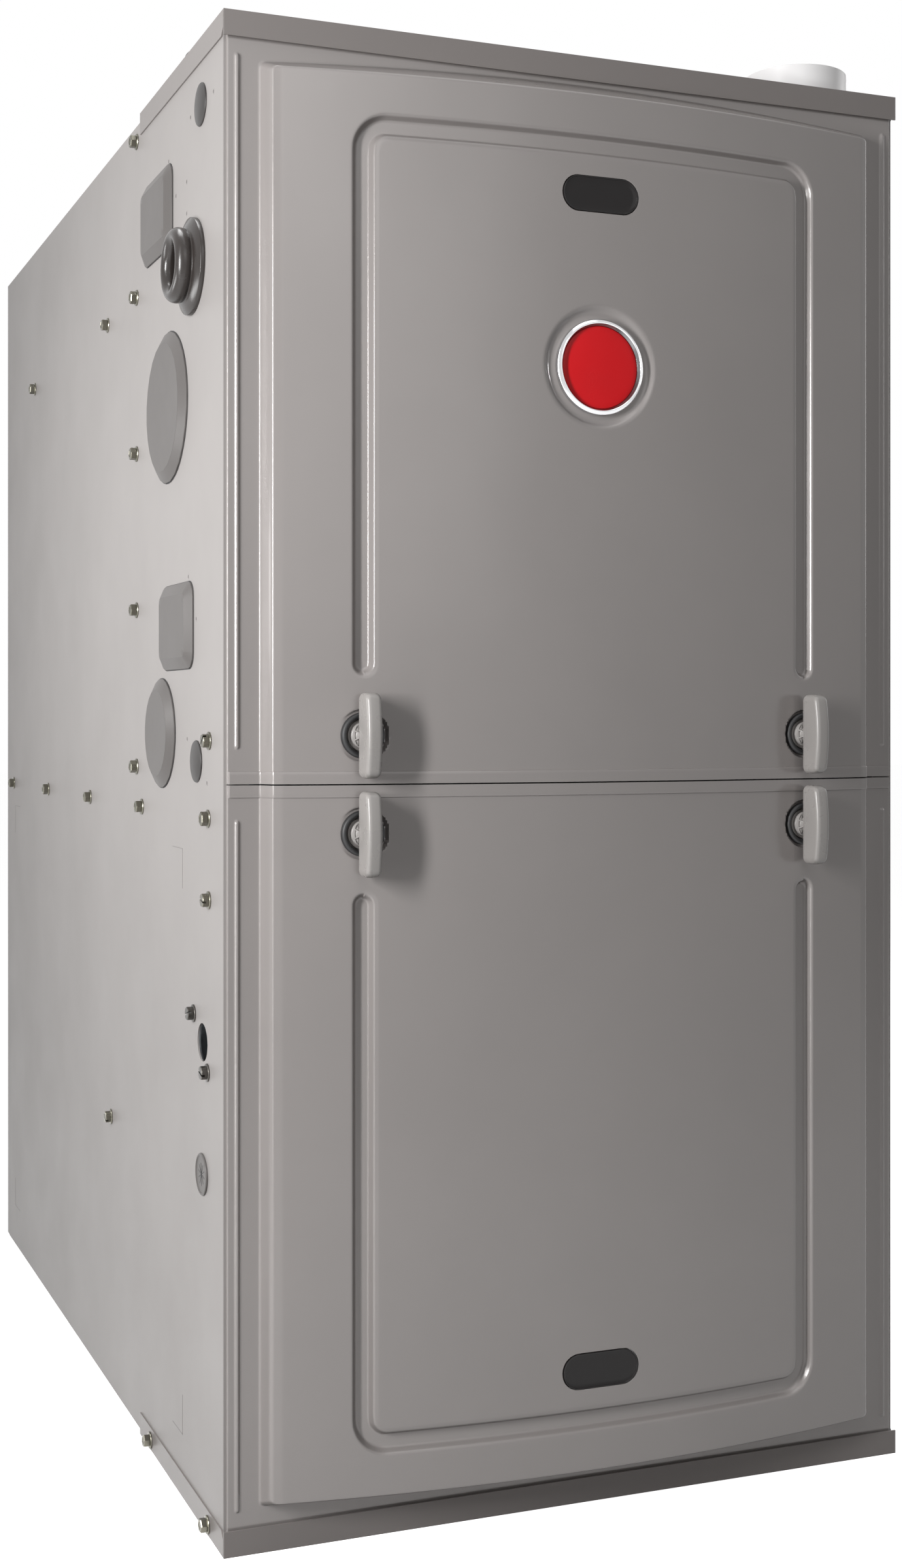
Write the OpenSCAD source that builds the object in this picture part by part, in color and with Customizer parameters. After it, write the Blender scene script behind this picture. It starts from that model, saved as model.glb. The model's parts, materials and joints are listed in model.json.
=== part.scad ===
// Upflow condensing gas furnace: a sheet-steel cabinet with two bowed
// tilt-out doors, quarter-turn latches, burners, heat exchanger, inducer
// and blower. Millimetres, front towards -Y, +Z up. The origin is the
// centre of the cabinet's footprint, on the floor.

/* [Cabinet] */
// Width across the top cap and the base rail
cabinet_w = 444; // [424:2:540]
// Depth from the cap's front flange to the casing's back
cabinet_d = 724; // [700:2:800]
// Height from the floor to the top of the cap
cabinet_h = 866; // [850:2:960]
// Height of the seam between the two doors
seam_z = 432; // [426:1:440]
// Thickness of the casing, rail and door sheet
sheet = 1; // [0.8:0.1:1.2]
// Depth of the front compartment under the cap
vestibule_d = 202; // [198:1:212]
// Height of the cap's and the base rail's flanges
flange_h = 14.5; // [13:0.5:16]
// Width of the casing's flanges beside the doors
casing_flange_w = 14; // [12:1:16]
// Width of the duct flanges at the top and bottom openings
duct_flange_w = 18; // [12:1:24]
// Rise from the casing's top edge to the underside of the cap
cap_rise = 3.7; // [2:0.1:5]

/* [Doors] */
// Radius of the doors' outward bow, seen from above
bow_r = 1100; // [1000:20:1400]
// How far the bow's crown stands in front of the flat border
crown = 27.5; // [24:0.5:32]
// Width of the flat border beside the raised field
border_w = 16; // [14:0.5:20]
// Width of the slope at each side of the raised field
slope_w = 9; // [7:0.5:12]
// Gap between the two doors at the seam
seam_gap = 0.8; // [0.6:0.1:1.5]
// Height of the lip along the seam
lip_h = 6.9; // [5:0.1:9]
// How far the lip stands in front of the field
lip_proud = 0.8; // [0.4:0.1:1.5]
// Depth of the door pan behind its border
pan_depth = 8; // [6:0.5:9]
// Distance from the seam to the end of the raised field
field_len = 402.6; // [380:0.2:404]
// Width of the pressed groove
groove_w = 14.6; // [10:0.2:18]
// Depth of the pressed groove
groove_depth = 3.6; // [2:0.2:5]
// Half the distance between the groove's two limbs
groove_x = 144; // [120:1:156]
// Distance from the seam to the groove's far edge
groove_len = 379.8; // [340:0.2:390]
// Width of the oval sight glass
sight_w = 49.5; // [36:0.5:60]
// Height of the oval sight glass
sight_h = 21.2; // [16:0.2:28]
// Distance from the seam to the middle of a sight glass
sight_len = 344; // [330:1:348]
// Diameter of the badge bezel
badge_d = 56.5; // [46:0.5:60]
// Tilt range of each door in degrees
door_tilt = 20; // [10:1:20]

/* [Latches] */
// Distance from the seam to a latch axis
latch_len = 27.3; // [25:0.1:30]
// Length of a latch handle
handle_l = 48; // [40:1:52]
// Width of a latch handle
handle_w = 9; // [7:0.5:11]
// Depth of a latch handle at its ends
handle_d = 13.8; // [10:0.2:16]
// How far the handle's front arches
handle_arch = 3; // [1:0.2:4]
// Diameter of the latch stem
stem_d = 8; // [6:0.5:9]
// Outer diameter of the rubber ring
ring_d = 26; // [24:0.5:30]

/* [Air side] */
// Diameter of the blower wheel
wheel_d = 254; // [230:2:260]
// Width of the blower wheel
wheel_w = 190; // [150:2:194]
// Number of blades in the blower wheel
blade_count = 36; // [24:1:44]
// Diameter of the blower shaft
shaft_d = 12.7; // [10:0.1:16]
// Diameter of the blower motor
motor_d = 124; // [110:2:130]
// Height of the blower axis above the floor
blower_z = 205; // [203:1:212]

/* [Fire side] */
// Height of the burners above the seam
burner_rise = 305; // [295:1:310]
// Distance between burners
burner_pitch = 70; // [56:1:72]
// Outer diameter of a heat exchanger tube
hx_tube_d = 38; // [30:1:42]
// Bend radius of a heat exchanger tube
hx_bend = 40; // [32:1:42]
// Diameter of the inducer housing
inducer_d = 144; // [130:2:150]
// Outer diameter of the flue duct
flue_d = 48; // [40:1:50]
// Outer diameter of the vent pipe
vent_d = 60.3; // [48:0.1:62]
// Wall of the vent socket
socket_wall = 2.5; // [2:0.1:4]
// How far the vent socket stands above the cap
vent_rise = 19; // [12:1:40]
// Bore of the gas inlet
gas_bore_d = 20.4; // [14:0.2:22]

/* [Side wall fittings] */
// Diameter of the large round cover
big_cover_d = 93.5; // [80:0.5:100]
// Diameter of the small round cover
small_cover_d = 68.5; // [60:0.5:80]
// Width of a hatch cover
hatch_w = 74.5; // [70:0.5:88]
// Height of a hatch cover
hatch_h = 52; // [45:0.5:60]
// How far the covers stand out
cover_proud = 4.5; // [3:0.5:6]
// Diameter of the conduit hole
conduit_d = 22.2; // [20:0.1:28]
// Diameter of the side grommet's flange
grommet_d = 57; // [52:1:62]

/* [Fits] */
// Radial running clearance of shafts, stems and buttons
running = 0.05; // [0.03:0.01:0.09]
// Gap between seated pieces
seat = 0.2; // [0.1:0.05:0.3]
// Gap between pieces that move past each other
free_gap = 0.5; // [0.4:0.1:1]

/* [Hidden] */
$fn = 64;
eps = 0.01;
big = 2000;

// Cabinet planes
front_y = -cabinet_d / 2;
back_y = cabinet_d / 2;
wall_x = cabinet_w / 2 - sheet;
inner_x = wall_x - sheet;
hook_gap = 1.5;
door_front = front_y + sheet + hook_gap;
casing_front = door_front + sheet + free_gap;
casing_top = cabinet_h - sheet - cap_rise;
casing_bottom = 2.4;
vest_y = front_y + vestibule_d;
lip_depth = 12;
lip_x = wall_x - casing_flange_w;
rail_y = casing_front + lip_depth + seat;
rail_reach = 48;
deck_drop = 14;
deck_z = seam_z - deck_drop;
screw_y = vest_y + 13;
screw_drop = 6.5;

// Door planes, measured from the seam edge towards the hooked edge
door_hx = wall_x - 1.5;
field_hx = door_hx - border_w;
pan_hx = lip_x - 1.2;
bow_cy = door_front - crown + bow_r;
crown_y = door_front - crown;
pan_rear = door_front + pan_depth;
upper_seam = seam_z + seam_gap / 2;
lower_seam = seam_z - seam_gap / 2;
hinge_y = door_front + sheet / 2;
upper_hinge_z = cabinet_h - flange_h + 2.5;
lower_hinge_z = flange_h - 2.5;
upper_toe = cabinet_h - 17.8 - upper_seam;
lower_toe = lower_seam - 19;
slope_rise = door_front - bow_y(field_hx - slope_w);
slope_reach = 1.4 * crown;
slope_run = slope_w * slope_reach / slope_rise;

// Latch stack along Y
latch_x = wall_x - 76.2;
flat_y = bow_y(latch_x) + 1.7;
handle_rear = flat_y - 6.2;
hub_r = 7.6;
ring_t = 3.2;
bush_flange_t = 1.3;
stem_end = rail_y + 12;
stem_r = stem_d / 2;
bush_r = stem_r + 2.2;
rail_hole_r = stem_r + 4;

// Blower
blower_y = vest_y + 220;
blower_side = wheel_w / 2 + 11;
scroll_r = [for (q = [0:3]) wheel_d / 2 + 14 + 8 * q];
inlet_r = wheel_d / 2 - 25;
neck_y0 = blower_y + 10;
neck_y1 = blower_y + scroll_r[3] + scroll_centre(3)[0];

// Fire side
burner_z = seam_z + burner_rise;
gas_y = front_y + 71;
hx_row = 2 * hx_bend;
hx_back_y = back_y - 112;
hx_front_y = vest_y + 100;
header_y = hx_back_y + 12;
collector_front = vest_y - 30;
inducer_x = -20;
inducer_z = seam_z + 78;
flue_collar = 3.5;
inducer_depth = flue_d + 2 * flue_collar + 2 * seat + 0.4;
inducer_back = collector_front - seat;
inducer_front = inducer_back - inducer_depth;
flue_y = inducer_back - inducer_depth / 2;
flue_z = inducer_z + inducer_d / 2 - flue_d / 2 - 3;
flue_joint_x = 64;
nipple_y = flue_y - 4;
nipple_top = inducer_z + inducer_d / 2 + 6;
flue_wall = 3;
flue_bend = 42;
vent_x = wall_x - 45.5;
vent_y = front_y + 44.5;
vent_top = cabinet_h + vent_rise;
vent_r = vent_d / 2;
socket_r = vent_r + socket_wall + 0.15;
inlet_x = -vent_x;
inlet_y = front_y + 134;
burner_box_x = 2 * burner_pitch + 5;
burner_box_front = vest_y - 102;
manifold_x = -1.5 * burner_pitch - 7;
valve_x0 = -wall_x + 35;
valve_x1 = manifold_x - 6;
gas_inlet_x = valve_x0 - seat - 18;
knob_x = (valve_x0 + valve_x1) / 2 + 4;

// Side wall fittings, as [y, z]
small_cover = [vest_y - 56, seam_z + 28];
hatch_low = [vest_y - 96, small_cover[1] + small_cover_d / 2 + 4.75 + hatch_h / 2];
hatch_low_top = hatch_low[1] + hatch_h / 2;
cover_room = cabinet_h - flange_h - hatch_low_top - big_cover_d - hatch_h;
big_cover = [vest_y - 73, hatch_low_top + 0.4145 * cover_room + big_cover_d / 2];
hatch_up = [vest_y - 46.7, cabinet_h - flange_h - 0.249 * cover_room - hatch_h / 2];
knockout_top = [vest_y - 150, cabinet_h - flange_h - 24];
knockout_low = [vest_y - 140, seam_z + 12];
conduit = [front_y + 49, 280.7];
cable_hole = [front_y + 49, 204];
gas_hole = [gas_y, burner_z];
cover_lap = 7.5;
knockout_r = 12.5;
cable_r = 12;
junction_screws = [[front_y + 68.6, 294.9], [front_y + 37.8, 265]];
slotted_spots = [[front_y + 34, seam_z + 24.4], [front_y + 35, seam_z - 67.3],
                 [vest_y + 91, 190.5]];
vest_screw_step = (casing_top - 10.3 - seam_z - 5.4) / 4;
deck_screw_step = (cabinet_d - 69.4) / 4;
column_spots = [for (k = [0:4]) [screw_y, seam_z + 5.4 + k * vest_screw_step]];
row_spots = [for (k = [0:4]) [front_y + 36.4 + k * deck_screw_step, deck_z - screw_drop]];
hx_spots = [[hx_front_y + 1.7, burner_z + 9.3], [hx_back_y - 24.6, burner_z + 9.3]];
base_spots = [[vest_y - 29, 6], [front_y + 34, 6]];
casing_spots = concat(column_spots, row_spots, hx_spots, base_spots, slotted_spots);

// Control panel
panel_y = front_y + 62;
panel_x = 150;
board_z0 = deck_z - 143;
switch_x = 130;
switch_z = deck_z - 51;
liner_rear = door_front - 2.5;

// Colours
case_grey = [0.72, 0.70, 0.69];
door_grey = [0.50, 0.48, 0.46];
cover_grey = [0.46, 0.44, 0.43];
dark_rubber = [0.2, 0.2, 0.2];
zinc = [0.62, 0.61, 0.52];
galvanised = [0.72, 0.74, 0.76];

// Centre of the scroll's arc number q: each arc starts where the last one ends
function scroll_centre(q) = q == 0 ? [0, 0]
    : scroll_centre(q - 1) - (scroll_r[q] - scroll_r[q - 1]) * [cos(90 + 90 * q), sin(90 + 90 * q)];

// Y of the bowed face at a distance x from the middle
function bow_y(x) = bow_cy - sqrt(bow_r * bow_r - x * x);

// ---------- helpers ----------

// A box given by its two corners
module span(x0, x1, y0, y1, z0, z1) {
    translate([x0, y0, z0]) cube([x1 - x0, y1 - y0, z1 - z0]);
}

// A cylinder along +Y from y0 to y1
module rod_y(x, z, r, y0, y1) {
    translate([x, y0, z]) rotate([-90, 0, 0]) cylinder(h = y1 - y0, r = r);
}

// A cylinder along +X from x0 to x1
module rod_x(y, z, r, x0, x1) {
    translate([x0, y, z]) rotate([0, 90, 0]) cylinder(h = x1 - x0, r = r);
}

// A cylinder along +Z from z0 to z1
module rod_z(x, y, r, z0, z1) {
    translate([x, y, z0]) cylinder(h = z1 - z0, r = r);
}

// A straight round bar between two points
module bar(a, b, r) {
    d = b - a;
    length = norm(d);
    translate(a) rotate([0, acos(d[2] / length), atan2(d[1], d[0])])
        cylinder(h = length, r = r);
}

// A run of round bars with round joints through a list of points
module run(points, r) {
    for (k = [0:len(points) - 2]) bar(points[k], points[k + 1], r);
    for (k = [1:len(points) - 2]) translate(points[k]) sphere(r = r * 1.05);
}

// A rounded rectangle centred on the origin
module rounded(w, h, r) {
    square([w - 2 * r, h], center = true);
    square([w, h - 2 * r], center = true);
    for (x = [-1, 1], y = [-1, 1]) translate([x * (w / 2 - r), y * (h / 2 - r)]) circle(r = r);
}

// Both side walls: the left piece, and its mirror image on the right
module both_walls() {
    children();
    mirror([1, 0, 0]) children();
}

// A left wall hole for each spot
module wall_holes(spots, r, depth = 6) {
    for (s = spots) rod_x(s[0], s[1], r, -wall_x - depth, -wall_x + depth);
}

// ---------- cabinet shell ----------

module casing_side_holes() {
    rod_x(big_cover[0], big_cover[1], big_cover_d / 2 - cover_lap, -wall_x - 3, -wall_x + 3);
    rod_x(small_cover[0], small_cover[1], small_cover_d / 2 - cover_lap, -wall_x - 3, -wall_x + 3);
    for (h = [hatch_up, hatch_low])
        span(-wall_x - 3, -wall_x + 3, h[0] - hatch_w / 2 + cover_lap, h[0] + hatch_w / 2 - cover_lap,
             h[1] - hatch_h / 2 + cover_lap, h[1] + hatch_h / 2 - cover_lap);
    for (k = [knockout_top, knockout_low]) rod_x(k[0], k[1], knockout_r - 2, -wall_x - 3, -wall_x + 3);
    rod_x(cable_hole[0], cable_hole[1], cable_r - 1.5, -wall_x - 3, -wall_x + 3);
    wall_holes(casing_spots, 2);
}

// Left flange beside the doors: a face and a lip that returns inwards
module door_flange() {
    span(-wall_x, -lip_x, casing_front, casing_front + sheet, casing_bottom, casing_top);
    span(-lip_x - sheet, -lip_x, casing_front, casing_front + lip_depth, casing_bottom, casing_top);
}

// Ring at the foot: an upright against each wall and a flange on the floor
module foot_ring() {
    foot_x = inner_x - seat;
    foot_y = back_y - sheet - seat;
    foot_front = vest_y + 3;
    difference() {
        span(-foot_x, foot_x, foot_front, foot_y, 0, 10);
        span(-foot_x + sheet, foot_x - sheet, foot_front - 1, foot_y - sheet, sheet, 11);
        span(-foot_x + sheet + duct_flange_w, foot_x - sheet - duct_flange_w, foot_front + duct_flange_w,
             foot_y - sheet - duct_flange_w, -1, 2);
    }
}

module side_walls() color(case_grey) difference() {
    both_walls() span(-wall_x, -inner_x, casing_front + sheet + seat, back_y - sheet - seat,
                      casing_bottom, casing_top);
    both_walls() casing_side_holes();
    rod_x(gas_hole[0], gas_hole[1], grommet_d / 2 - 6.3, -wall_x - 3, -wall_x + 3);
    rod_x(conduit[0], conduit[1], conduit_d / 2, -wall_x - 3, -wall_x + 3);
    wall_holes(junction_screws, 2);
}

// The back and the flanges that the side walls stand between
module casing_wrap() color(case_grey) {
    wall_back = back_y - sheet - seat;
    flange_x = inner_x - duct_flange_w;
    span(-wall_x, wall_x, back_y - sheet, back_y, casing_bottom, casing_top);
    both_walls() {
        door_flange();
        span(-inner_x + seat, -flange_x, vest_y + sheet + 2 * seat, wall_back,
             casing_top - sheet, casing_top);
    }
    span(-flange_x + seat, flange_x - seat, back_y - sheet - duct_flange_w, wall_back,
         casing_top - sheet, casing_top);
    foot_ring();
}

// Front and side flanges that the cap and the base rail share.
// They stand on z = 0 and reach up; the cap uses them upside down.
module flanged_plate() {
    difference() {
        union() {
            span(-wall_x - sheet, wall_x + sheet, front_y, vest_y, 0, sheet);
            span(-wall_x - sheet, wall_x + sheet, front_y, front_y + sheet, 0, flange_h);
            both_walls() span(-wall_x - sheet, -wall_x, front_y, vest_y, 0, flange_h - 0.5);
        }
        both_walls() {
            span(-wall_x - 2, -wall_x + eps, front_y + sheet, front_y + sheet + 0.6, sheet, flange_h + 1);
            translate([-wall_x - 2, front_y + sheet, flange_h]) rotate([90, 0, 90])
                linear_extrude(2 + eps) polygon([[0, 1], [5, 1], [5, 0], [0, -5]]);
        }
    }
}

module top_cap() color(door_grey) difference() {
    translate([0, 0, cabinet_h]) mirror([0, 0, 1]) flanged_plate();
    rod_z(vent_x, vent_y, socket_r + seat, cabinet_h - 5, cabinet_h + 5);
    rod_z(inlet_x, inlet_y, socket_r + seat, cabinet_h - 5, cabinet_h + 5);
}

module base_rail() color(door_grey) difference() {
    flanged_plate();
    both_walls() wall_holes(base_spots, 2);
}

module center_rail() color(galvanised) difference() {
    union() {
        span(-inner_x + seat, inner_x - seat, rail_y, rail_y + sheet,
             seam_z - rail_reach, seam_z + rail_reach);
        for (z = [seam_z - rail_reach, seam_z + rail_reach - sheet])
            span(-inner_x + seat, inner_x - seat, rail_y, rail_y + 10, z, z + sheet);
    }
    for (x = [-latch_x, latch_x], z = [upper_seam + latch_len, lower_seam - latch_len])
        rod_y(x, z, rail_hole_r, rail_y - 2, rail_y + 3);
    both_walls() wall_holes(slotted_spots, 2.2, 9);
}

// A spring keeper behind each latch hole: two legs and a bridge
module keeper() {
    leg = stem_r + 0.6;
    y0 = rail_y + sheet;
    both_walls() {
        span(-leg - 0.8, -leg, y0, stem_end + 2.5, -5, 5);
        span(-leg - 10, -leg, y0, y0 + 0.8, -5, 5);
    }
    span(-leg - 0.8, leg + 0.8, stem_end + 1.7, stem_end + 2.5, -5, 5);
}

module latch_keepers() color(zinc)
    for (x = [-latch_x, latch_x], z = [upper_seam + latch_len, lower_seam - latch_len])
        translate([x, 0, z]) keeper();

module blower_deck() color(galvanised) difference() {
    union() {
        span(-inner_x + seat, inner_x - seat, rail_y + sheet + seat, back_y - sheet - seat,
             deck_z, deck_z + sheet);
        both_walls() span(-inner_x + seat, -inner_x + seat + sheet, rail_y + 10 + sheet + seat,
                          back_y - sheet - seat, deck_z - deck_drop, deck_z);
        span(-inner_x + seat, inner_x - seat, back_y - 2 * sheet - seat, back_y - sheet - seat,
             deck_z - deck_drop, deck_z);
    }
    span(-blower_side + 2, blower_side - 2, neck_y0 + 2, neck_y1 - 2, deck_z - 5, deck_z + 5);
    both_walls() wall_holes(row_spots, 2);
}

module vestibule_panel() color(galvanised) difference() {
    union() {
        span(-inner_x + seat, inner_x - seat, vest_y, vest_y + sheet, deck_z + sheet + seat,
             cabinet_h - sheet - seat);
        both_walls() span(-inner_x + seat, -inner_x + seat + sheet, vest_y, vest_y + 24,
                          deck_z + sheet + seat, casing_top - 2 * sheet);
        span(-inner_x + seat, inner_x - seat, vest_y - 12, vest_y, cabinet_h - 2 * sheet - seat,
             cabinet_h - sheet - seat);
    }
    for (k = [-1.5:1:1.5]) rod_y(k * burner_pitch, burner_z, hx_tube_d / 2 + seat, vest_y - 2, vest_y + 3);
    span(-140, 140, vest_y - 2, vest_y + 3, seam_z + 18, seam_z + 110);
    both_walls() wall_holes(column_spots, 2);
}

// ---------- heat exchanger ----------

// One serpentine tube in the YZ plane: three passes joined by two bends
module serpentine(r, end_y) {
    rod_y(0, 0, r, vest_y + sheet / 2, hx_back_y);
    translate([0, hx_back_y, -hx_bend]) rotate([0, 90, 0]) rotate([0, 0, 0])
        rotate_extrude(angle = 180) translate([hx_bend, 0]) circle(r = r);
    rod_y(0, -hx_row, r, hx_front_y, hx_back_y);
    translate([0, hx_front_y, -hx_row - hx_bend]) rotate([0, 90, 0]) rotate([0, 0, 180])
        rotate_extrude(angle = 180) translate([hx_bend, 0]) circle(r = r);
    rod_y(0, -2 * hx_row, r, hx_front_y, end_y);
}

module primary_heat_exchanger() color([0.60, 0.62, 0.64]) {
    for (k = [-1.5:1:1.5]) translate([k * burner_pitch, 0, burner_z]) difference() {
        serpentine(hx_tube_d / 2, header_y - seat);
        rod_y(0, 0, hx_tube_d / 2 - 1.5, vest_y - 1, hx_back_y);
    }
    difference() {
        span(-170, 170, header_y, header_y + 58, seam_z + 8, burner_z - 2 * hx_row + hx_tube_d / 2 + 14);
        span(-168, 168, header_y + 2, header_y + 56, seam_z + 10, burner_z - 2 * hx_row + hx_tube_d / 2 + 12);
    }
    for (s = hx_spots) difference() {
        union() {
            span(-inner_x + seat, inner_x - seat, s[0] - 10, s[0] + 10,
                 burner_z + hx_tube_d / 2 + seat, burner_z + hx_tube_d / 2 + 2.5);
            both_walls() span(-inner_x + seat, -inner_x + seat + sheet, s[0] - 10, s[0] + 10,
                              burner_z - 5, burner_z + hx_tube_d / 2 + 1);
        }
        both_walls() wall_holes([s], 2);
    }
}

module secondary_coil() color([0.78, 0.80, 0.82]) {
    coil_z = seam_z + 64;
    coil_front = vest_y + sheet + seat;
    for (x = [-2:1:2], z = [-22, 22]) rod_y(x * 60, coil_z + z, 6, coil_front + 3 + seat, header_y - seat);
    for (k = [0:15]) {
        y = vest_y + 40 + k * (header_y - vest_y - 70) / 15;
        difference() {
            span(-160, 160, y, y + 1, coil_z - 46, coil_z + 46);
            for (x = [-2:1:2], z = [-22, 22]) rod_y(x * 60, coil_z + z, 6 + seat, y - 1, y + 2);
        }
    }
    span(-138, 138, coil_front, coil_front + 3, coil_z - 44, coil_z + 44);
}

module collector_box() color([0.16, 0.16, 0.17]) difference() {
    span(-150, 150, collector_front, vest_y - seat, seam_z + 8, seam_z + 124);
    span(-146, 146, collector_front + 3, vest_y + 1, seam_z + 12, seam_z + 120);
    rod_y(inducer_x, inducer_z, 28, collector_front - 1, collector_front + 5);
    rod_y(-130, seam_z + 38, 5, collector_front - 1, collector_front + 5);
}

// ---------- burners and gas ----------

module burner_box() color(galvanised) difference() {
    span(-burner_box_x, burner_box_x, burner_box_front, vest_y - seat, burner_z - 37, burner_z + 48);
    span(-burner_box_x + sheet, burner_box_x - sheet, burner_box_front - 1, vest_y + 1,
         burner_z - 36, burner_z + 47);
    for (x = [-70, 70]) rod_z(x, burner_box_front + 27, 5, burner_z + 45, burner_z + 50);
    rod_x(vest_y - 10, burner_z + 8, 4, -burner_box_x - 1, burner_box_x + 1);
}

module burner() {
    throat = burner_box_front + 4;
    difference() {
        union() {
            translate([0, throat, 0]) rotate([-90, 0, 0]) cylinder(h = 16, r1 = 17, r2 = 12);
            rod_y(0, 0, 12, throat + 16, throat + 58);
            rod_y(0, 0, 16, throat + 58, throat + 76);
        }
        translate([0, throat - eps, 0]) rotate([-90, 0, 0]) cylinder(h = 16 + 2 * eps, r1 = 15.5, r2 = 10.5);
        rod_y(0, 0, 10.5, throat + 15, throat + 60);
        rod_y(0, 0, 14.5, throat + 59, throat + 77);
    }
}

module burners() color([0.65, 0.66, 0.68]) {
    for (k = [-1.5:1:1.5]) translate([k * burner_pitch, 0, burner_z]) burner();
    difference() {
        span(-burner_box_x + sheet + seat, burner_box_x - sheet - seat, burner_box_front + 40,
             burner_box_front + 42, burner_z - 36 + seat, burner_z + 20);
        for (k = [-1.5:1:1.5])
            rod_y(k * burner_pitch, burner_z, 12 + seat, burner_box_front + 30, burner_box_front + 50);
    }
}

module gas_manifold() color([0.25, 0.25, 0.26]) {
    rod_x(gas_y, burner_z, 10.65, manifold_x, burner_box_x - 8);
    rod_x(gas_y, burner_z, 13, burner_box_x - 18, burner_box_x - 6);
    for (k = [-1.5:1:1.5]) {
        rod_y(k * burner_pitch, burner_z, 6, gas_y, burner_box_front - 2);
        rod_y(k * burner_pitch, burner_z, 3, gas_y, burner_box_front + 2);
    }
    span(burner_box_x + seat, burner_box_x + seat + 2, gas_y - 10, burner_box_front + 22,
         burner_z - 14, burner_z + 14);
    rod_x(gas_y, burner_z, 8, burner_box_x - 9, burner_box_x + 2);
}

module gas_valve() color([0.70, 0.71, 0.72]) {
    difference() {
        union() {
            span(valve_x0, valve_x1, gas_y - 28, burner_box_front - seat, burner_z - 30, burner_z + 30);
            rod_x(gas_y, burner_z, 15, valve_x1 - 1, manifold_x - seat);
            rod_z(valve_x1 - 17, gas_y, 14, burner_z + 29, burner_z + 44);
            rod_z(valve_x0 + 17, gas_y, 11, burner_z + 29, burner_z + 38);
            rod_y(knob_x, burner_z, 4, gas_y - 38, gas_y - 27);
        }
        rod_x(gas_y, burner_z, 6, valve_x0 - 1, manifold_x + 4);
    }
    // inlet flange for the gas pipe, face to face with the body
    difference() {
        rod_x(gas_y, burner_z, 15, gas_inlet_x, valve_x0 - seat);
        rod_x(gas_y, burner_z, gas_bore_d / 2, gas_inlet_x - 1, valve_x0);
    }
}

module gas_knob() color([0.75, 0.1, 0.1]) difference() {
    union() {
        rod_y(knob_x, burner_z, 13, gas_y - 42, gas_y - 28 - free_gap);
        span(knob_x - 3, knob_x + 3, gas_y - 46, gas_y - 41, burner_z - 12, burner_z + 12);
    }
    rod_y(knob_x, burner_z, 4 + running, gas_y - 38 - free_gap, gas_y - 20);
}

module igniter() color([0.85, 0.83, 0.78]) {
    rod_x(vest_y - 10, burner_z + 8, 4 - seat, burner_box_x - 20, burner_box_x + 4);
    rod_x(vest_y - 10, burner_z + 8, 2, burner_box_x - 52, burner_box_x - 19);
    span(burner_box_x + seat, burner_box_x + 14, vest_y - 18, vest_y - 2, burner_z, burner_z + 16);
}

module flame_sensor() color([0.85, 0.83, 0.78]) mirror([1, 0, 0]) {
    rod_x(vest_y - 10, burner_z + 8, 4 - seat, burner_box_x - 14, burner_box_x + 12);
    rod_x(vest_y - 10, burner_z + 8, 1.5, burner_box_x - 52, burner_box_x - 13);
    span(burner_box_x + seat, burner_box_x + 2, vest_y - 22, vest_y - 1, burner_z, burner_z + 16);
}

module limit_switch() color([0.15, 0.15, 0.16]) {
    rod_y(60, seam_z + 218, 12, vest_y - 10, vest_y - seat);
    span(45, 75, vest_y - 3, vest_y - seat, seam_z + 211, seam_z + 225);
    for (x = [55, 65]) span(x - 2.5, x + 2.5, vest_y - 18, vest_y - 9, seam_z + 217.6, seam_z + 218.4);
}

module rollout_switch() color([0.15, 0.15, 0.16]) difference() {
    for (x = [-70, 70]) {
        rod_z(x, burner_box_front + 27, 11, burner_z + 48 + seat, burner_z + 58);
        span(x - 16, x + 16, burner_box_front + 20, burner_box_front + 34,
             burner_z + 48 + seat, burner_z + 50);
    }
    rod_z(-70, burner_box_front + 27, 3 + running, burner_z + 52, burner_z + 60);
}

module reset_button() color([0.8, 0.1, 0.1])
    rod_z(-70, burner_box_front + 27, 3, burner_z + 54, burner_z + 62);

// ---------- inducer and flue ----------

module inducer_housing() color([0.22, 0.22, 0.23]) difference() {
    union() {
        rod_y(inducer_x, inducer_z, inducer_d / 2, inducer_front, inducer_back);
        rod_x(flue_y, flue_z, flue_d / 2, inducer_x, flue_joint_x);
        rod_z(inducer_x - 40, nipple_y, 3, inducer_z + 56, nipple_top);
        for (a = [45:90:315])
            rod_y(inducer_x + (inducer_d / 2 - 2) * cos(a), inducer_z + (inducer_d / 2 - 2) * sin(a), 7,
                  inducer_back - 4, inducer_back);
    }
    rod_y(inducer_x, inducer_z, inducer_d / 2 - flue_wall, inducer_front + 3, inducer_back - 3);
    rod_x(flue_y, flue_z, flue_d / 2 - flue_wall, inducer_x, flue_joint_x + 1);
    rod_y(inducer_x, inducer_z, 28, inducer_back - 5, inducer_back + 1);
    rod_y(inducer_x, inducer_z, 8, inducer_front - 1, inducer_front + 5);
}

module inducer_wheel() color([0.55, 0.56, 0.58]) {
    wheel_r = inducer_d / 2 - 14;
    y0 = inducer_front + 9;
    y1 = inducer_back - 9;
    translate([inducer_x, 0, inducer_z]) {
        difference() {
            rod_y(0, 0, wheel_r, y0, y0 + 2);
            rod_y(0, 0, 3, y0 - 1, y0 + 3);
        }
        rod_y(0, 0, 9, y0, y1 - 6);
        for (a = [0:30:330]) rotate([0, a, 0]) span(9 - 1, wheel_r - 1, y0, y1, -0.8, 0.8);
        rod_y(0, 0, 4, inducer_front - 26, y0 + 5);
    }
}

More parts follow.
